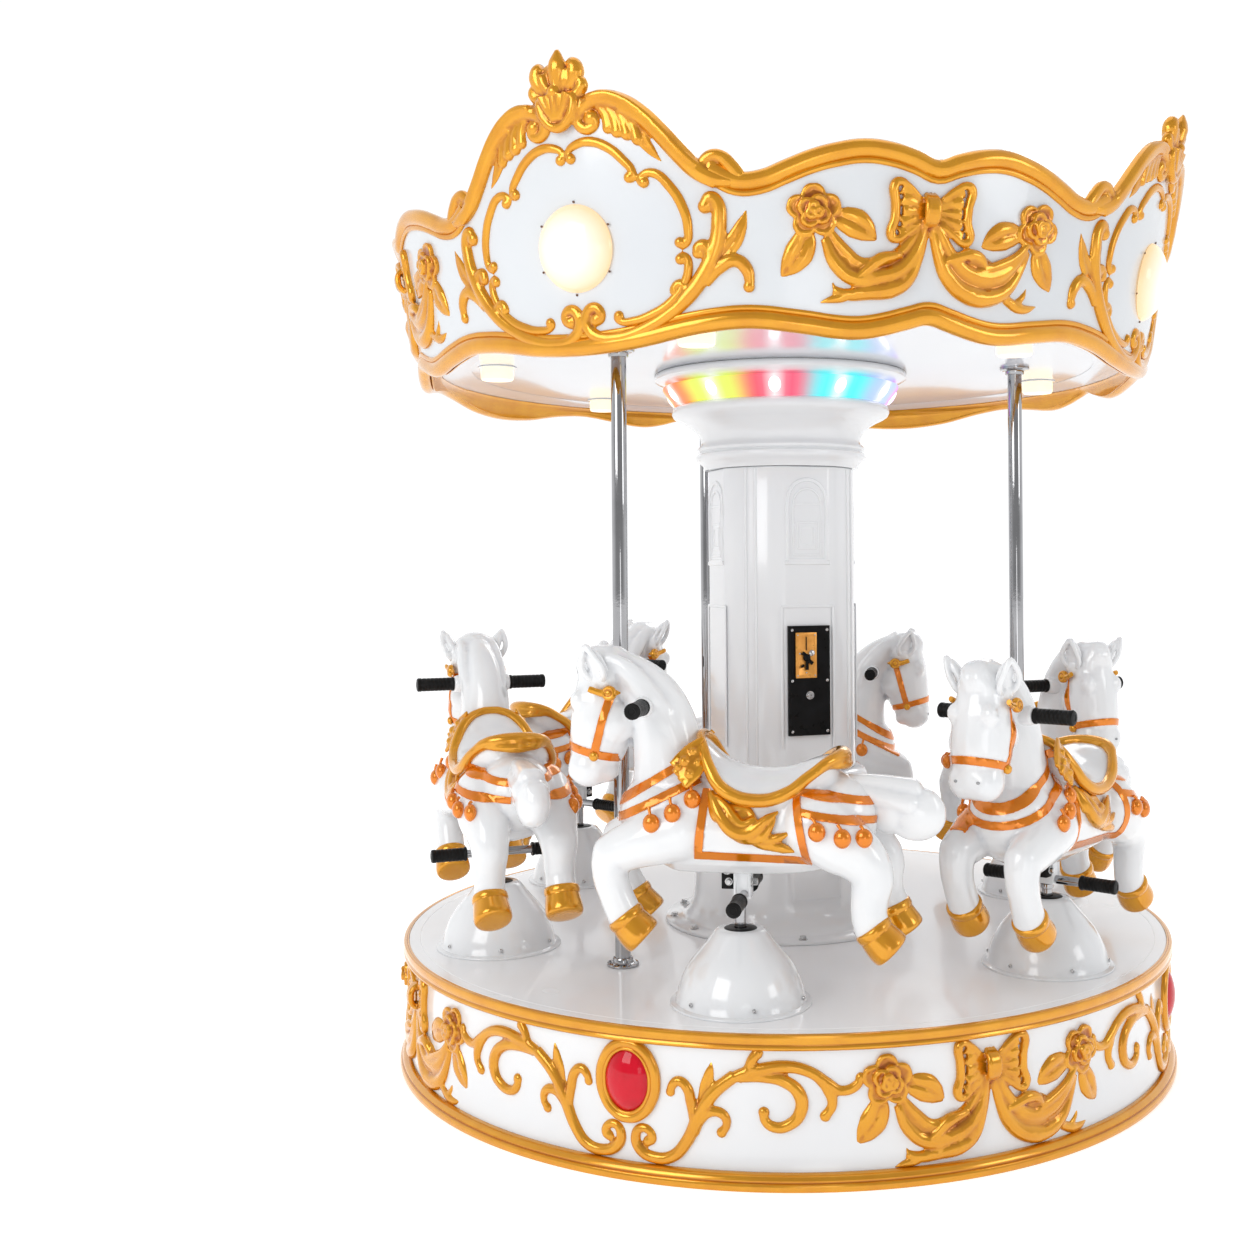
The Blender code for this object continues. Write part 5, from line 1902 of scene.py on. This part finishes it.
    def saddle(self) -> list[Piece]:
        """Model the saddle's domed seat as cross-sections that are bridged.

        Returns:
            The seat, in a list.
        """
        rows = []
        for x, wide, top, rise, low in (
                (0.094, 0.044, 0.966, 0.014, 0.86), (0.078, 0.074, 0.954, 0.016, 0.83),
                (0.054, 0.102, 0.908, 0.034, 0.8), (0.022, 0.117, 0.872, 0.048, 0.78),
                (-0.03, 0.122, 0.85, 0.054, 0.77), (-0.09, 0.122, 0.848, 0.055, 0.77),
                (-0.14, 0.117, 0.862, 0.048, 0.775), (-0.182, 0.103, 0.894, 0.034, 0.79),
                (-0.214, 0.082, 0.916, 0.02, 0.81), (-0.24, 0.052, 0.922, 0.01, 0.85)):
            ring = [(x, wide * side, top + rise * (1 - side * side))
                    for side in (-1, -0.8, -0.5, 0, 0.5, 0.8, 1)]
            ring += [(x, wide * 0.97, top - 0.02), (x, wide * 0.7, low), (x, 0, low), (x, -wide * 0.7, low),
                     (x, -wide * 0.97, top - 0.02)]
            row = line(ring + ring[:1])
            with editing(row):
                bpy.ops.mesh.remove_doubles(threshold=1e-5)
            rows.append(row)
        dish = joined("dish", rows)
        with editing(dish, "EDGE"):
            bpy.ops.mesh.bridge_edge_loops(type="SINGLE")
            bpy.ops.mesh.select_all(action="SELECT")
            bpy.ops.mesh.fill_holes(sides=0)
        close_up(dish)
        return [modify(dish, "SUBSURF", levels=1)]

    def ear(self, side: int) -> Piece:
        """Model one ear, a leaf-shaped cup that opens forwards and outwards.

        Args:
            side: -1 or 1, along Y.

        Returns:
            The ear.
        """
        edge = ((0.0, -0.004, -0.046, 0.01), (0.02, -0.01, -0.034, 0.0085), (0.0285, -0.012, -0.008, 0.008),
                (0.0215, -0.01, 0.016, 0.0078), (0.011, -0.005, 0.034, 0.008), (0.0, 0.0, 0.045, 0.009))
        loop = list(edge) + [(-x, y, z, r) for x, y, z, r in edge[4:0:-1]]
        parts = [tube(loop, 3, 6, ring=True), ball((0, 0.008, -0.006), (0.027, 0.0125, 0.046)),
                 ball((0, 0.008, -0.03), (0.027, 0.018, 0.032))]
        ear = carved("ear", parts, rounds=9, budget=1800)
        return aimed(ear, (0.337, side * 0.07, 1.148), (0.33, side * 0.36, 0.87), (0.42, side * 0.9, -0.05))

    def hoof(self, place: Point, down: Point) -> Piece:
        """Turn one hoof with its coronet and tilt its sole towards the toe.

        Args:
            place: middle of the coronet.
            down: direction from the coronet to the sole.

        Returns:
            The hoof.
        """
        profile = [(0.0, -0.006), (0.0405, -0.006), (0.044, -0.004), (0.0458, 0.0), (0.0462, 0.006),
                   (0.0456, 0.0115), (0.044, 0.0145), (0.0436, 0.016), (0.0441, 0.018), (0.0455, 0.027),
                   (0.047, 0.038), (0.0482, 0.049), (0.0484, 0.058), (0.0474, 0.064), (0.0448, 0.0682),
                   (0.04, 0.0704), (0.03, 0.0712), (0.015, 0.0716), (0.0, 0.0716)]
        hoof = turned("hoof", profile, 36)
        with editing(hoof):
            for level, degrees in ((0.027, 4), (0.04, 5)):
                select_faces(hoof, lambda face: face.calc_center_median().z > level)
                bpy.ops.transform.rotate(value=math.radians(degrees), orient_axis="X",
                                         center_override=(0, 0, level))
        return aimed(hoof, place, down, (-down[2], 0.0, down[0]))

    def nostrils(self) -> Piece:
        """Model the two nostrils as shallow grey dots, painted shade standing in for their hollows."""
        return joined("nostrils", [ball((0.4085, side * 0.03, 0.9), (0.0045, 0.0055, 0.004), 12)
                                   for side in (-1, 1)])

    def grip(self, outer: float, inner: float, radius: float) -> Piece:
        """Turn a ribbed rubber grip along +Y.

        Args:
            outer: where its end is.
            inner: where its collar is.
            radius: its radius.

        Returns:
            The grip.
        """
        profile = [(0.0115, inner), (radius + 0.001, inner), (radius + 0.0016, inner + 0.0015),
                   (radius + 0.0016, inner + 0.0045), (radius + 0.0006, inner + 0.006)]
        step = (outer - inner - 0.026) / 7
        for rib in range(7):
            start = inner + 0.01 + rib * step
            profile += [(radius - 0.0008, start), (radius, start + step * 0.15),
                        (radius, start + step * 0.85)]
        profile += [(radius - 0.0008, outer - 0.014), (radius + 0.0006, outer - 0.012),
                    (radius + 0.0006, outer - 0.004), (radius - 0.002, outer - 0.001), (0.0085, outer),
                    (0.0078, outer - 0.0012), (0.0, outer - 0.0012)]
        return moved(turned("grip", profile, 20), turn=(-90, 0, 0))

    def pair(self, piece: Piece, x: float, z: float) -> Piece:
        """Mirror a piece of the near side to the far side and move both to their place."""
        return moved(mirrored(piece, "Y"), (x, 0, z))

    def grips(self) -> Piece:
        """Model the hand grips."""
        return self.pair(self.grip(0.1855, 0.0812, 0.0188), 0.218, 1.046)

    def foot_grips(self) -> Piece:
        """Model the footrest's grips."""
        return self.pair(self.grip(0.186, 0.09, 0.0175), -0.012, 0.6)

    def bar(self) -> Piece:
        """Turn the hand bar with the sleeves that hold it in the neck.

        Returns:
            The bar.
        """
        sleeve = [(0.0, 0.035), (0.027, 0.035), (0.0255, 0.06), (0.0235, 0.072), (0.0215, 0.078),
                  (0.018, 0.08), (0.0112, 0.0805), (0.0112, 0.1), (0.0, 0.1)]
        return self.pair(moved(turned("sleeve", sleeve, 32), turn=(-90, 0, 0)), 0.218, 1.046)

    def post(self) -> Piece:
        """Turn the chrome post and the footrest's bar.

        Returns:
            Both as one piece.
        """
        post = turned("post", [(0.0, 0.4005), (0.0125, 0.4005), (0.0134, 0.402), (0.0134, 0.5765),
                               (0.016, 0.578), (0.0165, 0.581), (0.0165, 0.589), (0.0, 0.589)], 32)
        bar = turned("rest", [(0.0, -0.1), (0.011, -0.1), (0.011, -0.05), (0.011, 0.05), (0.011, 0.1),
                              (0.0, 0.1)], 32)
        bar = moved(bar, (-0.012, 0, 0.6), (90, 0, 0))
        return joined("post", [bar, post])

    def bracket(self) -> Piece:
        """Model the grey block under the belly, with the slot that takes the footrest's bar.

        Returns:
            The block.
        """
        block = slab((-0.0075, 0, 0.64), (0.041, 0.046, 0.1))
        with editing(block):
            select_faces(block, lambda face: abs(face.normal.y) > 0.9)
            bpy.ops.mesh.inset(thickness=0.006, depth=0, use_individual=True)
            bpy.ops.mesh.inset(thickness=0.0012, depth=-0.003, use_individual=True)
        return rounded(block, 0.0022)

    def plate(self) -> Piece:
        """Model the black strap in front of the block and the pad under the belly."""
        boxes = (((0.0275, 0, 0.649), (0.029, 0.04, 0.074)), ((0.004, 0, 0.686), (0.074, 0.054, 0.008)))
        return joined("plate", [rounded(slab(*box), 0.0018) for box in boxes])

    def bolts(self) -> Piece:
        """Set the bolts of the bracket.

        Returns:
            The bolts.
        """
        bolts = []
        for place, up, size in (
                ((0.0425, 0, 0.66), (1, 0, 0), 1.0), ((-0.0285, 0.006, 0.671), (-1, 0, 0), 1.0),
                ((-0.0285, 0.006, 0.628), (-1, 0, 0), 1.0), ((0.028, 0.0202, 0.66), (0, 1, 0), 1.15),
                ((0.028, -0.0202, 0.66), (0, -1, 0), 1.15), ((0.024, 0.0202, 0.63), (0, 1, 0), 0.8),
                ((0.024, -0.0202, 0.63), (0, -1, 0), 0.8)):
            bolts.append(aimed(nut(0.0088 * size, 0.011 * size), place, up, (0, 0, 1)))
        return joined("bolts", bolts)


# Painted shade: grey dots stand for the shade in the nostril hollows.
NOSTRIL_SHADE = Finish("nostril painted shade", Slot.WHITE, (0.36, 0.37, 0.38), (0.3, 0.31, 0.32), 0.4)


# Canopy

TOP_EDGE = ((0, 2.53), (1.8, 2.506), (3.8, 2.462), (7.5, 2.438), (11.3, 2.382), (16, 2.29), (18.2, 2.274),
            (21, 2.249), (24, 2.251), (30, 2.293), (36, 2.316), (41, 2.304), (45, 2.28))
BOTTOM_EDGE = ((0, 1.868), (8, 1.877), (15, 1.898), (22, 1.908), (28, 1.897), (35, 1.882), (40, 1.895),
               (45, 1.918))


@dataclass
class Canopy:
    """Ceiling with its lamps, the low roof, and the leaning fascia in four like quarters."""

    turn: float = -26.0
    radius: float = 1.026
    height: float = 1.88
    lean: float = 0.19
    arc: float = 0.0179
    roll: float = 0.022
    ceiling: float = 1.944
    lamp_turn: float = -14.0
    lamp_circle: float = 0.83

    def build(self, garland: Piece) -> None:
        """Build the canopy.

        Args:
            garland: the flat casting, which is copied.
        """
        self.ceiling_plate()
        self.ceiling_lamps()
        self.roof()
        four(self.hung(self.wall()), "fascia_wall", self.turn, FASCIA_SHADED_WHITE, TURNTABLE, "fascia", 50.0)
        for flat, name in ((self.rolls(), "fascia_rolls"), (self.crest(), "crest_carving"),
                           (self.medallion(), "medallion"), (self.sprays(), "leaf_spray")):
            four(self.hung(flat), name, self.turn, GOLD, TURNTABLE, crease=CARVED_CREASE)
        between = self.hung(moved(copy_of(garland), (0, 0, 2.168)))
        four(between, "fascia_garland", self.turn + 45.0, GOLD, TURNTABLE, crease=CARVED_CREASE)
        self.soffit()
        self.crest_lamps()

    def hung(self, flat: Piece) -> Piece:
        """Wrap a flat piece on the leaning wall, and return it."""
        return wrap(flat, self.radius, self.lean, self.height)

    def ceiling_plate(self) -> None:
        """Turn the glossy ceiling."""
        c = self.ceiling
        plate = turned("ceiling_plate", [(0.0, c), (0.975, c), (0.975, c + 0.012), (0.0, c + 0.012)], 160)
        dress(plate, CEILING_SHADED_WHITE, TURNTABLE, "ceiling")

    def ceiling_lamps(self) -> None:
        """Hang the six round lamps with their flanges."""
        c = self.ceiling
        flange = turned("lamp_flange", [(0.0, c - HAIR), (0.054, c - HAIR), (0.0545, c - 0.0014),
                                        (0.0535, c - 0.003), (0.047, c - 0.0036), (0.0, c - 0.0036)], 48)
        puck = turned("lamp_puck", [(0.0, c - 0.0038), (0.046, c - 0.0038), (0.0466, c - 0.008),
                                    (0.046, c - 0.032), (0.043, c - 0.0365), (0.0, c - 0.0378)], 48)
        for number in range(6):
            azimuth = self.lamp_turn + SIXTH * number
            spot = at_azimuth(self.lamp_circle, azimuth)
            warm = number % 2 == 0 or number in (1, 5)
            ring = moved(copy_of(flange, f"lamp_flange_{number + 1}"), spot)
            dress(ring, WHITE, TURNTABLE)
            lamp = moved(copy_of(puck, f"ceiling_lamp_{number + 1}"), spot)
            dress(lamp, WARM_LAMP if warm else COOL_LAMP, TURNTABLE)
        discard(flange, puck)

    def roof(self) -> None:
        """Turn the low roof, with ribs over its seams and a cap."""
        seat = self.ceiling + 0.0127
        shell = turned(
            "roof_shell",
            [(0.965, seat), (0.965, seat + 0.008), (0.96, seat + 0.012), (0.9, seat + 0.024),
             (0.6, seat + 0.078), (0.3, seat + 0.13), (0.13, seat + 0.158), (0.12, seat + 0.166),
             (0.06, seat + 0.171), (0.0, 2.1295), (0.0, 2.118), (0.925, seat), (0.965, seat)], 128)
        dress(shell, WHITE, TURNTABLE, "roof")
        rib = tube([(0.0, -0.945, seat + 0.012, 0.006), (0.0, -0.6, seat + 0.076, 0.006),
                    (0.0, -0.3, seat + 0.128, 0.006), (0.0, -0.125, seat + 0.16, 0.006)], 2, 3)
        ribs = around(rib, [f"rib_{n}" for n in range(8)], 19.0, 45.0)
        dress(joined("roof_ribs", ribs), WHITE, TURNTABLE)

    def soffit(self) -> None:
        """Make the flange round the ceiling and the gold cove that hangs from it to the lower roll."""
        flange = turned("soffit_flange", [(0.9, 1.9433), (0.985, 1.9352), (0.992, 1.935),
                                          (0.992, UNDER_CEILING), (0.9, UNDER_CEILING), (0.9, 1.9433)], 160)
        dress(flange, CEILING_SHADED_WHITE, TURNTABLE, crease=CARVED_CREASE)
        rows = []
        for share in (0.0, 0.35, 0.7, 1.0):
            row = []
            for step in range(0, 91, 2):
                degrees = step - 45.0
                bottom = smooth_between(BOTTOM_EDGE, abs(degrees))
                low_r = self.radius + self.lean * (bottom + self.roll - self.height) - 0.008
                r0, z0, r1, z1 = 0.99, 1.9345, low_r - 0.75 * self.roll, bottom + 0.35 * self.roll
                radius = r0 + (r1 - r0) * math.sin(share * math.pi / 2)
                row.append(at_azimuth(radius, degrees, z0 + (z1 - z0) * (1 - math.cos(share * math.pi / 2))))
            rows.append(line(row))
        cove = joined("cove", rows)
        with editing(cove, "EDGE"):
            bpy.ops.mesh.bridge_edge_loops(type="SINGLE")
        cove = modify(close_up(cove), "SOLIDIFY", thickness=0.003, offset=0.0)
        four(close_up(cove), "fascia_cove", self.turn, GOLD, TURNTABLE, crease=50.0)

    def wall(self) -> Piece:
        """Cut the white wall of one quarter to its waved edges, flat.

        Returns:
            The wall.
        """
        low, high = [], []
        for step in range(0, 91):
            degrees = step - 45.0
            x = degrees * math.radians(1.0) * self.radius
            bottom = smooth_between(BOTTOM_EDGE, abs(degrees)) + 0.55 * self.roll
            top = min(smooth_between(TOP_EDGE, abs(degrees)) - 1.1 * self.roll, 2.425)
            low.append((x, 0.0, bottom))
            high.append((x, 0.0, top))
        sheet = joined("wall", [line(low), line(high)])
        with editing(sheet, "EDGE"):
            bpy.ops.mesh.bridge_edge_loops(type="SINGLE", number_cuts=5, interpolation="LINEAR")
        close_up(sheet)
        with editing(sheet):
            if bmesh.from_edit_mesh(sheet.data).faces[:][0].normal.y > 0:
                bpy.ops.mesh.flip_normals()
        return modify(sheet, "SOLIDIFY", thickness=0.018, offset=-1.0)

    def edge(self, knots: Profile, first: float, last: float, rise: float, girth: float, depth: float,
             out: float = 0.0) -> Piece:
        """Run a moulding along an edge of the wall.

        Args:
            knots: the edge's heights by degrees from the crest.
            first: degrees at which it starts.
            last: degrees at which it ends.
            rise: how far its middle is above the edge.
            girth: its radius.
            depth: how far it stands out, as a share of its radius.
            out: how far its middle stands before the wall.

        Returns:
            The moulding.
        """
        step = math.copysign(3.0, last - first)
        count = round((last - first) / step)
        arc = math.radians(1.0) * self.radius
        points = []
        for index in range(-1 if abs(first) == 45 else 0, count + (2 if abs(last) == 45 else 1)):
            degrees = first + step * index
            folded = 45.0 - abs(45.0 - abs(degrees))
            points.append((degrees * arc, smooth_between(knots, folded) + rise, girth))
        piece = moved(relief(points, depth, 4, 5), (0, -out, 0))
        for end in (first, last):
            if abs(end) == 45:
                side = math.copysign(1.0, end)
                trimmed(piece, (end * arc, 0.0, 0.0), (side, 0.0, 0.0))
        return piece

    def rolls(self) -> Piece:
        """Run the gold rolls along the lower edge and between the crests.

        Returns:
            The rolls of one quarter, flat.
        """
        r = self.roll
        parts = [self.edge(BOTTOM_EDGE, -45, 45, r, r * 0.98, 0.85, -0.004),
                 self.edge(BOTTOM_EDGE, -45, 45, r * 2.15, r * 0.3, 0.9, 0.001)]
        for side in (-1, 1):
            parts.append(self.edge(TOP_EDGE, side * 18, side * 45, -r, r * 0.95, 0.9, -0.004))
            parts.append(self.edge(TOP_EDGE, side * 18, side * 45, -r * 2.15, r * 0.32, 0.9, 0.001))
        return thinned(joined("rolls", parts), 8000)

    def crest(self) -> Piece:
        """Carve the crest's shell, its two great scrolls and the lobes under them.

        Returns:
            The carving, flat.
        """
        scroll = [(21.6, 2.232, 0.015), (20.6, 2.256, 0.016), (19.3, 2.279, 0.015), (18.0, 2.28, 0.014),
                  (17.3, 2.263, 0.013), (17.8, 2.248, 0.0125), (18.6, 2.254, 0.0115)]
        arm = [(20.6, 2.226, 0.016), (18.6, 2.232, 0.019), (16.6, 2.252, 0.021), (14.6, 2.29, 0.0215),
               (12.4, 2.338, 0.021), (10.0, 2.384, 0.0205), (7.8, 2.412, 0.02), (5.8, 2.424, 0.019),
               (4.0, 2.42, 0.0175), (2.7, 2.404, 0.016), (2.35, 2.382, 0.015), (3.0, 2.366, 0.014),
               (4.0, 2.366, 0.013), (4.5, 2.38, 0.011), (4.0, 2.391, 0.01)]
        ridge = [(x, z + 0.009, 0.0085) for x, z, _ in arm[2:9]]
        lower = [(x, z - 0.014, 0.0075) for x, z, _ in arm[1:7]]
        lobes = (((3.9, 2.418, 0.006), (5.0, 2.41, 0.009), (5.8, 2.39, 0.011), (6.1, 2.362, 0.0125)),
                 ((4.6, 2.421, 0.006), (6.0, 2.406, 0.01), (6.9, 2.382, 0.012), (7.2, 2.352, 0.0135)),
                 ((5.4, 2.42, 0.006), (7.0, 2.4, 0.01), (8.0, 2.374, 0.012), (8.4, 2.344, 0.0135)),
                 ((6.4, 2.416, 0.006), (8.2, 2.39, 0.01), (9.2, 2.36, 0.012), (9.6, 2.33, 0.0125)))
        parts = [self.flat(path) for path in (scroll, *lobes)] + [self.flat(arm, 0.95)]
        parts.append(moved(self.flat(ridge, 1.0), (0, -0.012, 0)))
        parts.append(moved(self.flat(lower, 1.0), (0, -0.008, 0)))
        a = self.arc
        parts += leaf((9.0 * a, 2.39), (12.4 * a, 2.276), 0.014, -0.01)
        for x, z, size in ((4.05, 2.386, 0.0175), (18.3, 2.258, 0.015), (6.1, 2.36, 0.0135),
                           (7.2, 2.35, 0.0145), (8.4, 2.342, 0.0145), (9.6, 2.328, 0.013)):
            parts.append(boss(x * a, z, size, out=size * 0.9))
        half = mirrored(joined("half", parts))
        shell = []
        spear = ((0.3, 2.446, 0.013), (0.4, 2.476, 0.0185), (0.5, 2.5, 0.0215), (0.6, 2.517, 0.017),
                 (0.7, 2.53, 0.01), (0.75, 2.54, 0.004))
        shell.append(moved(self.flat(spear, 1.0), (0, -0.01, 0)))
        shell.append(boss(0.0, 2.478, 0.047, 0.04, 0.013))
        for side in (-1, 1):
            for path, out in (
                    (((0.9, 2.448, 0.011), (2.0, 2.466, 0.018), (2.55, 2.488, 0.02), (2.35, 2.504, 0.0175),
                      (1.75, 2.51, 0.012)), 0.0),
                    (((0.8, 2.45, 0.008), (1.45, 2.474, 0.0115), (1.75, 2.494, 0.0095)), 0.01),
                    (((1.6, 2.436, 0.009), (2.7, 2.444, 0.014), (3.3, 2.458, 0.014), (3.2, 2.472, 0.01)),
                     0.002), (((1.5, 2.424, 0.008), (2.6, 2.424, 0.0115), (3.1, 2.432, 0.01)), 0.001)):
                shell.append(moved(self.flat([(side * x, z, r) for x, z, r in path], 1.1), (0, -out, 0)))
        cup = [
            (side * x * a, z, r)
            for side, x, z, r in ((-1, 1.2, 2.44, 0.007), (-1, 2.1, 2.438, 0.0095), (-1, 2.15, 2.414, 0.011),
                                  (-1, 1.3, 2.386, 0.0115), (1, 0.0, 2.374, 0.012), (1, 1.3, 2.386, 0.0115),
                                  (1, 2.15, 2.414, 0.011), (1, 2.1, 2.438, 0.0095), (1, 1.2, 2.44, 0.007))]
        shell.append(moved(relief(cup, 1.1), (0, -0.014, 0)))
        shell.append(boss(0.0, 2.414, 0.04, 0.04, 0.02, 0.006))
        for x in (-1.5, -0.75, 0.0, 0.75, 1.5):
            path = [(x * 0.25, 2.392, 0.005), (x * 0.8, 2.418, 0.0075), (x * 1.15, 2.446, 0.0095)]
            shell.append(moved(self.flat(path, 1.2), (0, -0.02, 0)))
        shell.append(boss(0.0, 2.452, 0.015, 0.015, 0.016, 0.018))
        return carved("crest", [half] + shell, grain=0.0024, budget=14500)

    def flat(self, path: Sequence[Point], depth: float = 0.9) -> Piece:
        """Sweep a scroll whose points count degrees along the wall."""
        return relief([(x * self.arc, z, r) for x, z, r in path], depth)

    def medallion(self) -> Piece:
        """Carve the thin frame of C-scrolls round the lamp.

        Returns:
            The frame, flat.
        """
        paths = (
            ((0.75, 2.303, 0.0055), (0.35, 2.31, 0.006), (0.45, 2.322, 0.0065), (1.5, 2.334, 0.008),
             (3.4, 2.337, 0.009), (5.6, 2.321, 0.009), (7.6, 2.288, 0.0085), (8.7, 2.258, 0.0075),
             (8.5, 2.245, 0.006), (7.9, 2.248, 0.0055)),
            ((10.1, 2.232, 0.0055), (9.5, 2.238, 0.006), (9.9, 2.252, 0.007), (11.3, 2.254, 0.0085),
             (13.1, 2.224, 0.009), (14.6, 2.176, 0.009), (15.1, 2.13, 0.0085), (14.8, 2.1, 0.0075),
             (14.1, 2.095, 0.006), (13.9, 2.106, 0.0055)),
            ((13.8, 2.062, 0.0055), (14.0, 2.073, 0.006), (14.7, 2.07, 0.007), (14.9, 2.046, 0.0085),
             (14.2, 2.01, 0.009), (12.4, 1.974, 0.009), (9.6, 1.948, 0.009), (7.0, 1.938, 0.008),
             (5.3, 1.941, 0.007), (4.9, 1.951, 0.006), (5.5, 1.957, 0.0055)))
        parts = [self.flat([(x, z, r * 1.28) for x, z, r in path], 0.9) for path in paths]
        for x, z in ((0.72, 2.306), (8.2, 2.25), (10.0, 2.236), (14.0, 2.102), (13.95, 2.066),
                     (5.25, 1.952)):
            parts.append(boss(x * self.arc, z, 0.0125, out=0.0115))
        return carved("medallion", [mirrored(joined("half", parts))], grain=0.0022, rounds=1, budget=7500)

    def sprays(self) -> Piece:
        """Carve the leaf sprays that rise from the lower roll beside the crest.

        Returns:
            The sprays, flat.
        """
        paths = (
            ((2.1, 1.942, 0.009), (2.7, 1.951, 0.01), (2.6, 1.968, 0.011), (1.6, 1.976, 0.012),
             (0.65, 1.962, 0.013), (0.65, 1.932, 0.014), (1.9, 1.91, 0.0145), (4.6, 1.903, 0.0145),
             (8.0, 1.915, 0.0145), (11.6, 1.944, 0.0145), (14.6, 1.984, 0.0145), (16.9, 2.034, 0.0145),
             (18.4, 2.09, 0.014), (18.9, 2.142, 0.0135), (18.7, 2.182, 0.0125), (17.9, 2.194, 0.0115),
             (17.3, 2.178, 0.01)),
            ((13.6, 1.968, 0.009), (14.4, 1.998, 0.01), (13.9, 2.012, 0.0095), (13.0, 2.004, 0.0085),
             (12.9, 1.992, 0.008)),
            ((16.8, 2.03, 0.009), (17.5, 2.068, 0.011), (17.1, 2.092, 0.011), (16.3, 2.09, 0.01),
             (16.1, 2.074, 0.009)),
            ((16.9, 2.01, 0.009), (18.9, 2.046, 0.012), (20.7, 2.058, 0.012), (22.0, 2.04, 0.0115),
             (22.4, 2.01, 0.009), (22.3, 1.992, 0.006)))
        parts = [self.flat([(x, z, r * (1.32 if x > 12 else 1.1)) for x, z, r in path], 0.9)
                 for path in paths]
        a = self.arc
        parts += leaf((18.2 * a, 2.05), (22.2 * a, 2.164), 0.0185, -0.01)
        for x, z, size in ((2.0, 1.948, 0.015), (17.3, 2.176, 0.0165), (13.1, 1.996, 0.0125),
                           (16.2, 2.078, 0.014), (22.3, 2.0, 0.0135)):
            parts.append(boss(x * a, z, size, out=size * 0.9))
        return carved("spray", [mirrored(joined("half", parts))], grain=0.0026, rounds=2, budget=8500)

    def crest_lamps(self) -> None:
        """Set the domed lamps on the crests, each with its screws."""
        rise, radius, height = 0.045, 0.1, 2.11
        dome = [(0.0, rise), (0.02, rise * 0.985), (0.04, rise * 0.92), (0.06, rise * 0.79),
                (0.076, rise * 0.61), (0.089, rise * 0.38), (0.096, rise * 0.2), (0.0985, rise * 0.08),
                (radius, 0.0), (0.0, 0.0)]
        lamp = turned("lamp", dome, 64)
        glowing(lamp, (1.0, 0.97, 0.9), (1.0, 0.6, 0.22), lambda spot: math.hypot(spot.x, spot.y) / radius)
        heads = []
        head = screw(0.0028, 0.0018)
        for angle in (5, 65, 125, 185, 245, 305):
            spot = (0.105 * math.sin(angle * ARC), 0.0, 0.105 * math.cos(angle * ARC))
            heads.append(moved(copy_of(head), spot))
        discard(head)
        tilt = math.degrees(math.atan(self.lean))
        face = self.radius + self.lean * (height - self.height)
        screws = joined("lamp_screws", heads)
        for piece, turn in ((lamp, 90.0 + tilt), (screws, tilt)):
            moved(moved(piece, turn=(turn, 0, 0)), (0, -face - 0.0006, height))
        four(lamp, "crest_glass", self.turn, LAMP, TURNTABLE, "crest_lamp")
        four(screws, "crest_screws", self.turn, BRONZE, TURNTABLE)


WARM_LAMP = lamp_colour("warm lamp", (1.0, 0.84, 0.56), 1.15)
COOL_LAMP = lamp_colour("cool lamp", (0.3, 0.8, 1.0), 1.15)


def main() -> None:
    """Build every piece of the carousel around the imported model."""
    logging.basicConfig(level=logging.INFO, format="%(name)s: %(message)s")
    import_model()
    Studio().build()
    garland = Garland().build()
    Base().build(garland)
    Deck().build()
    Column().build()
    Poles().build()
    Canopy().build(garland)
    Horses().build()
    for name in ("base_frame", "bearing_post"):
        hidden = bpy.data.objects[name]
        hidden.data.materials.clear()
        hidden.data.materials.append(STEEL.material())
    discard(garland)


if __name__ == "__main__":
    main()
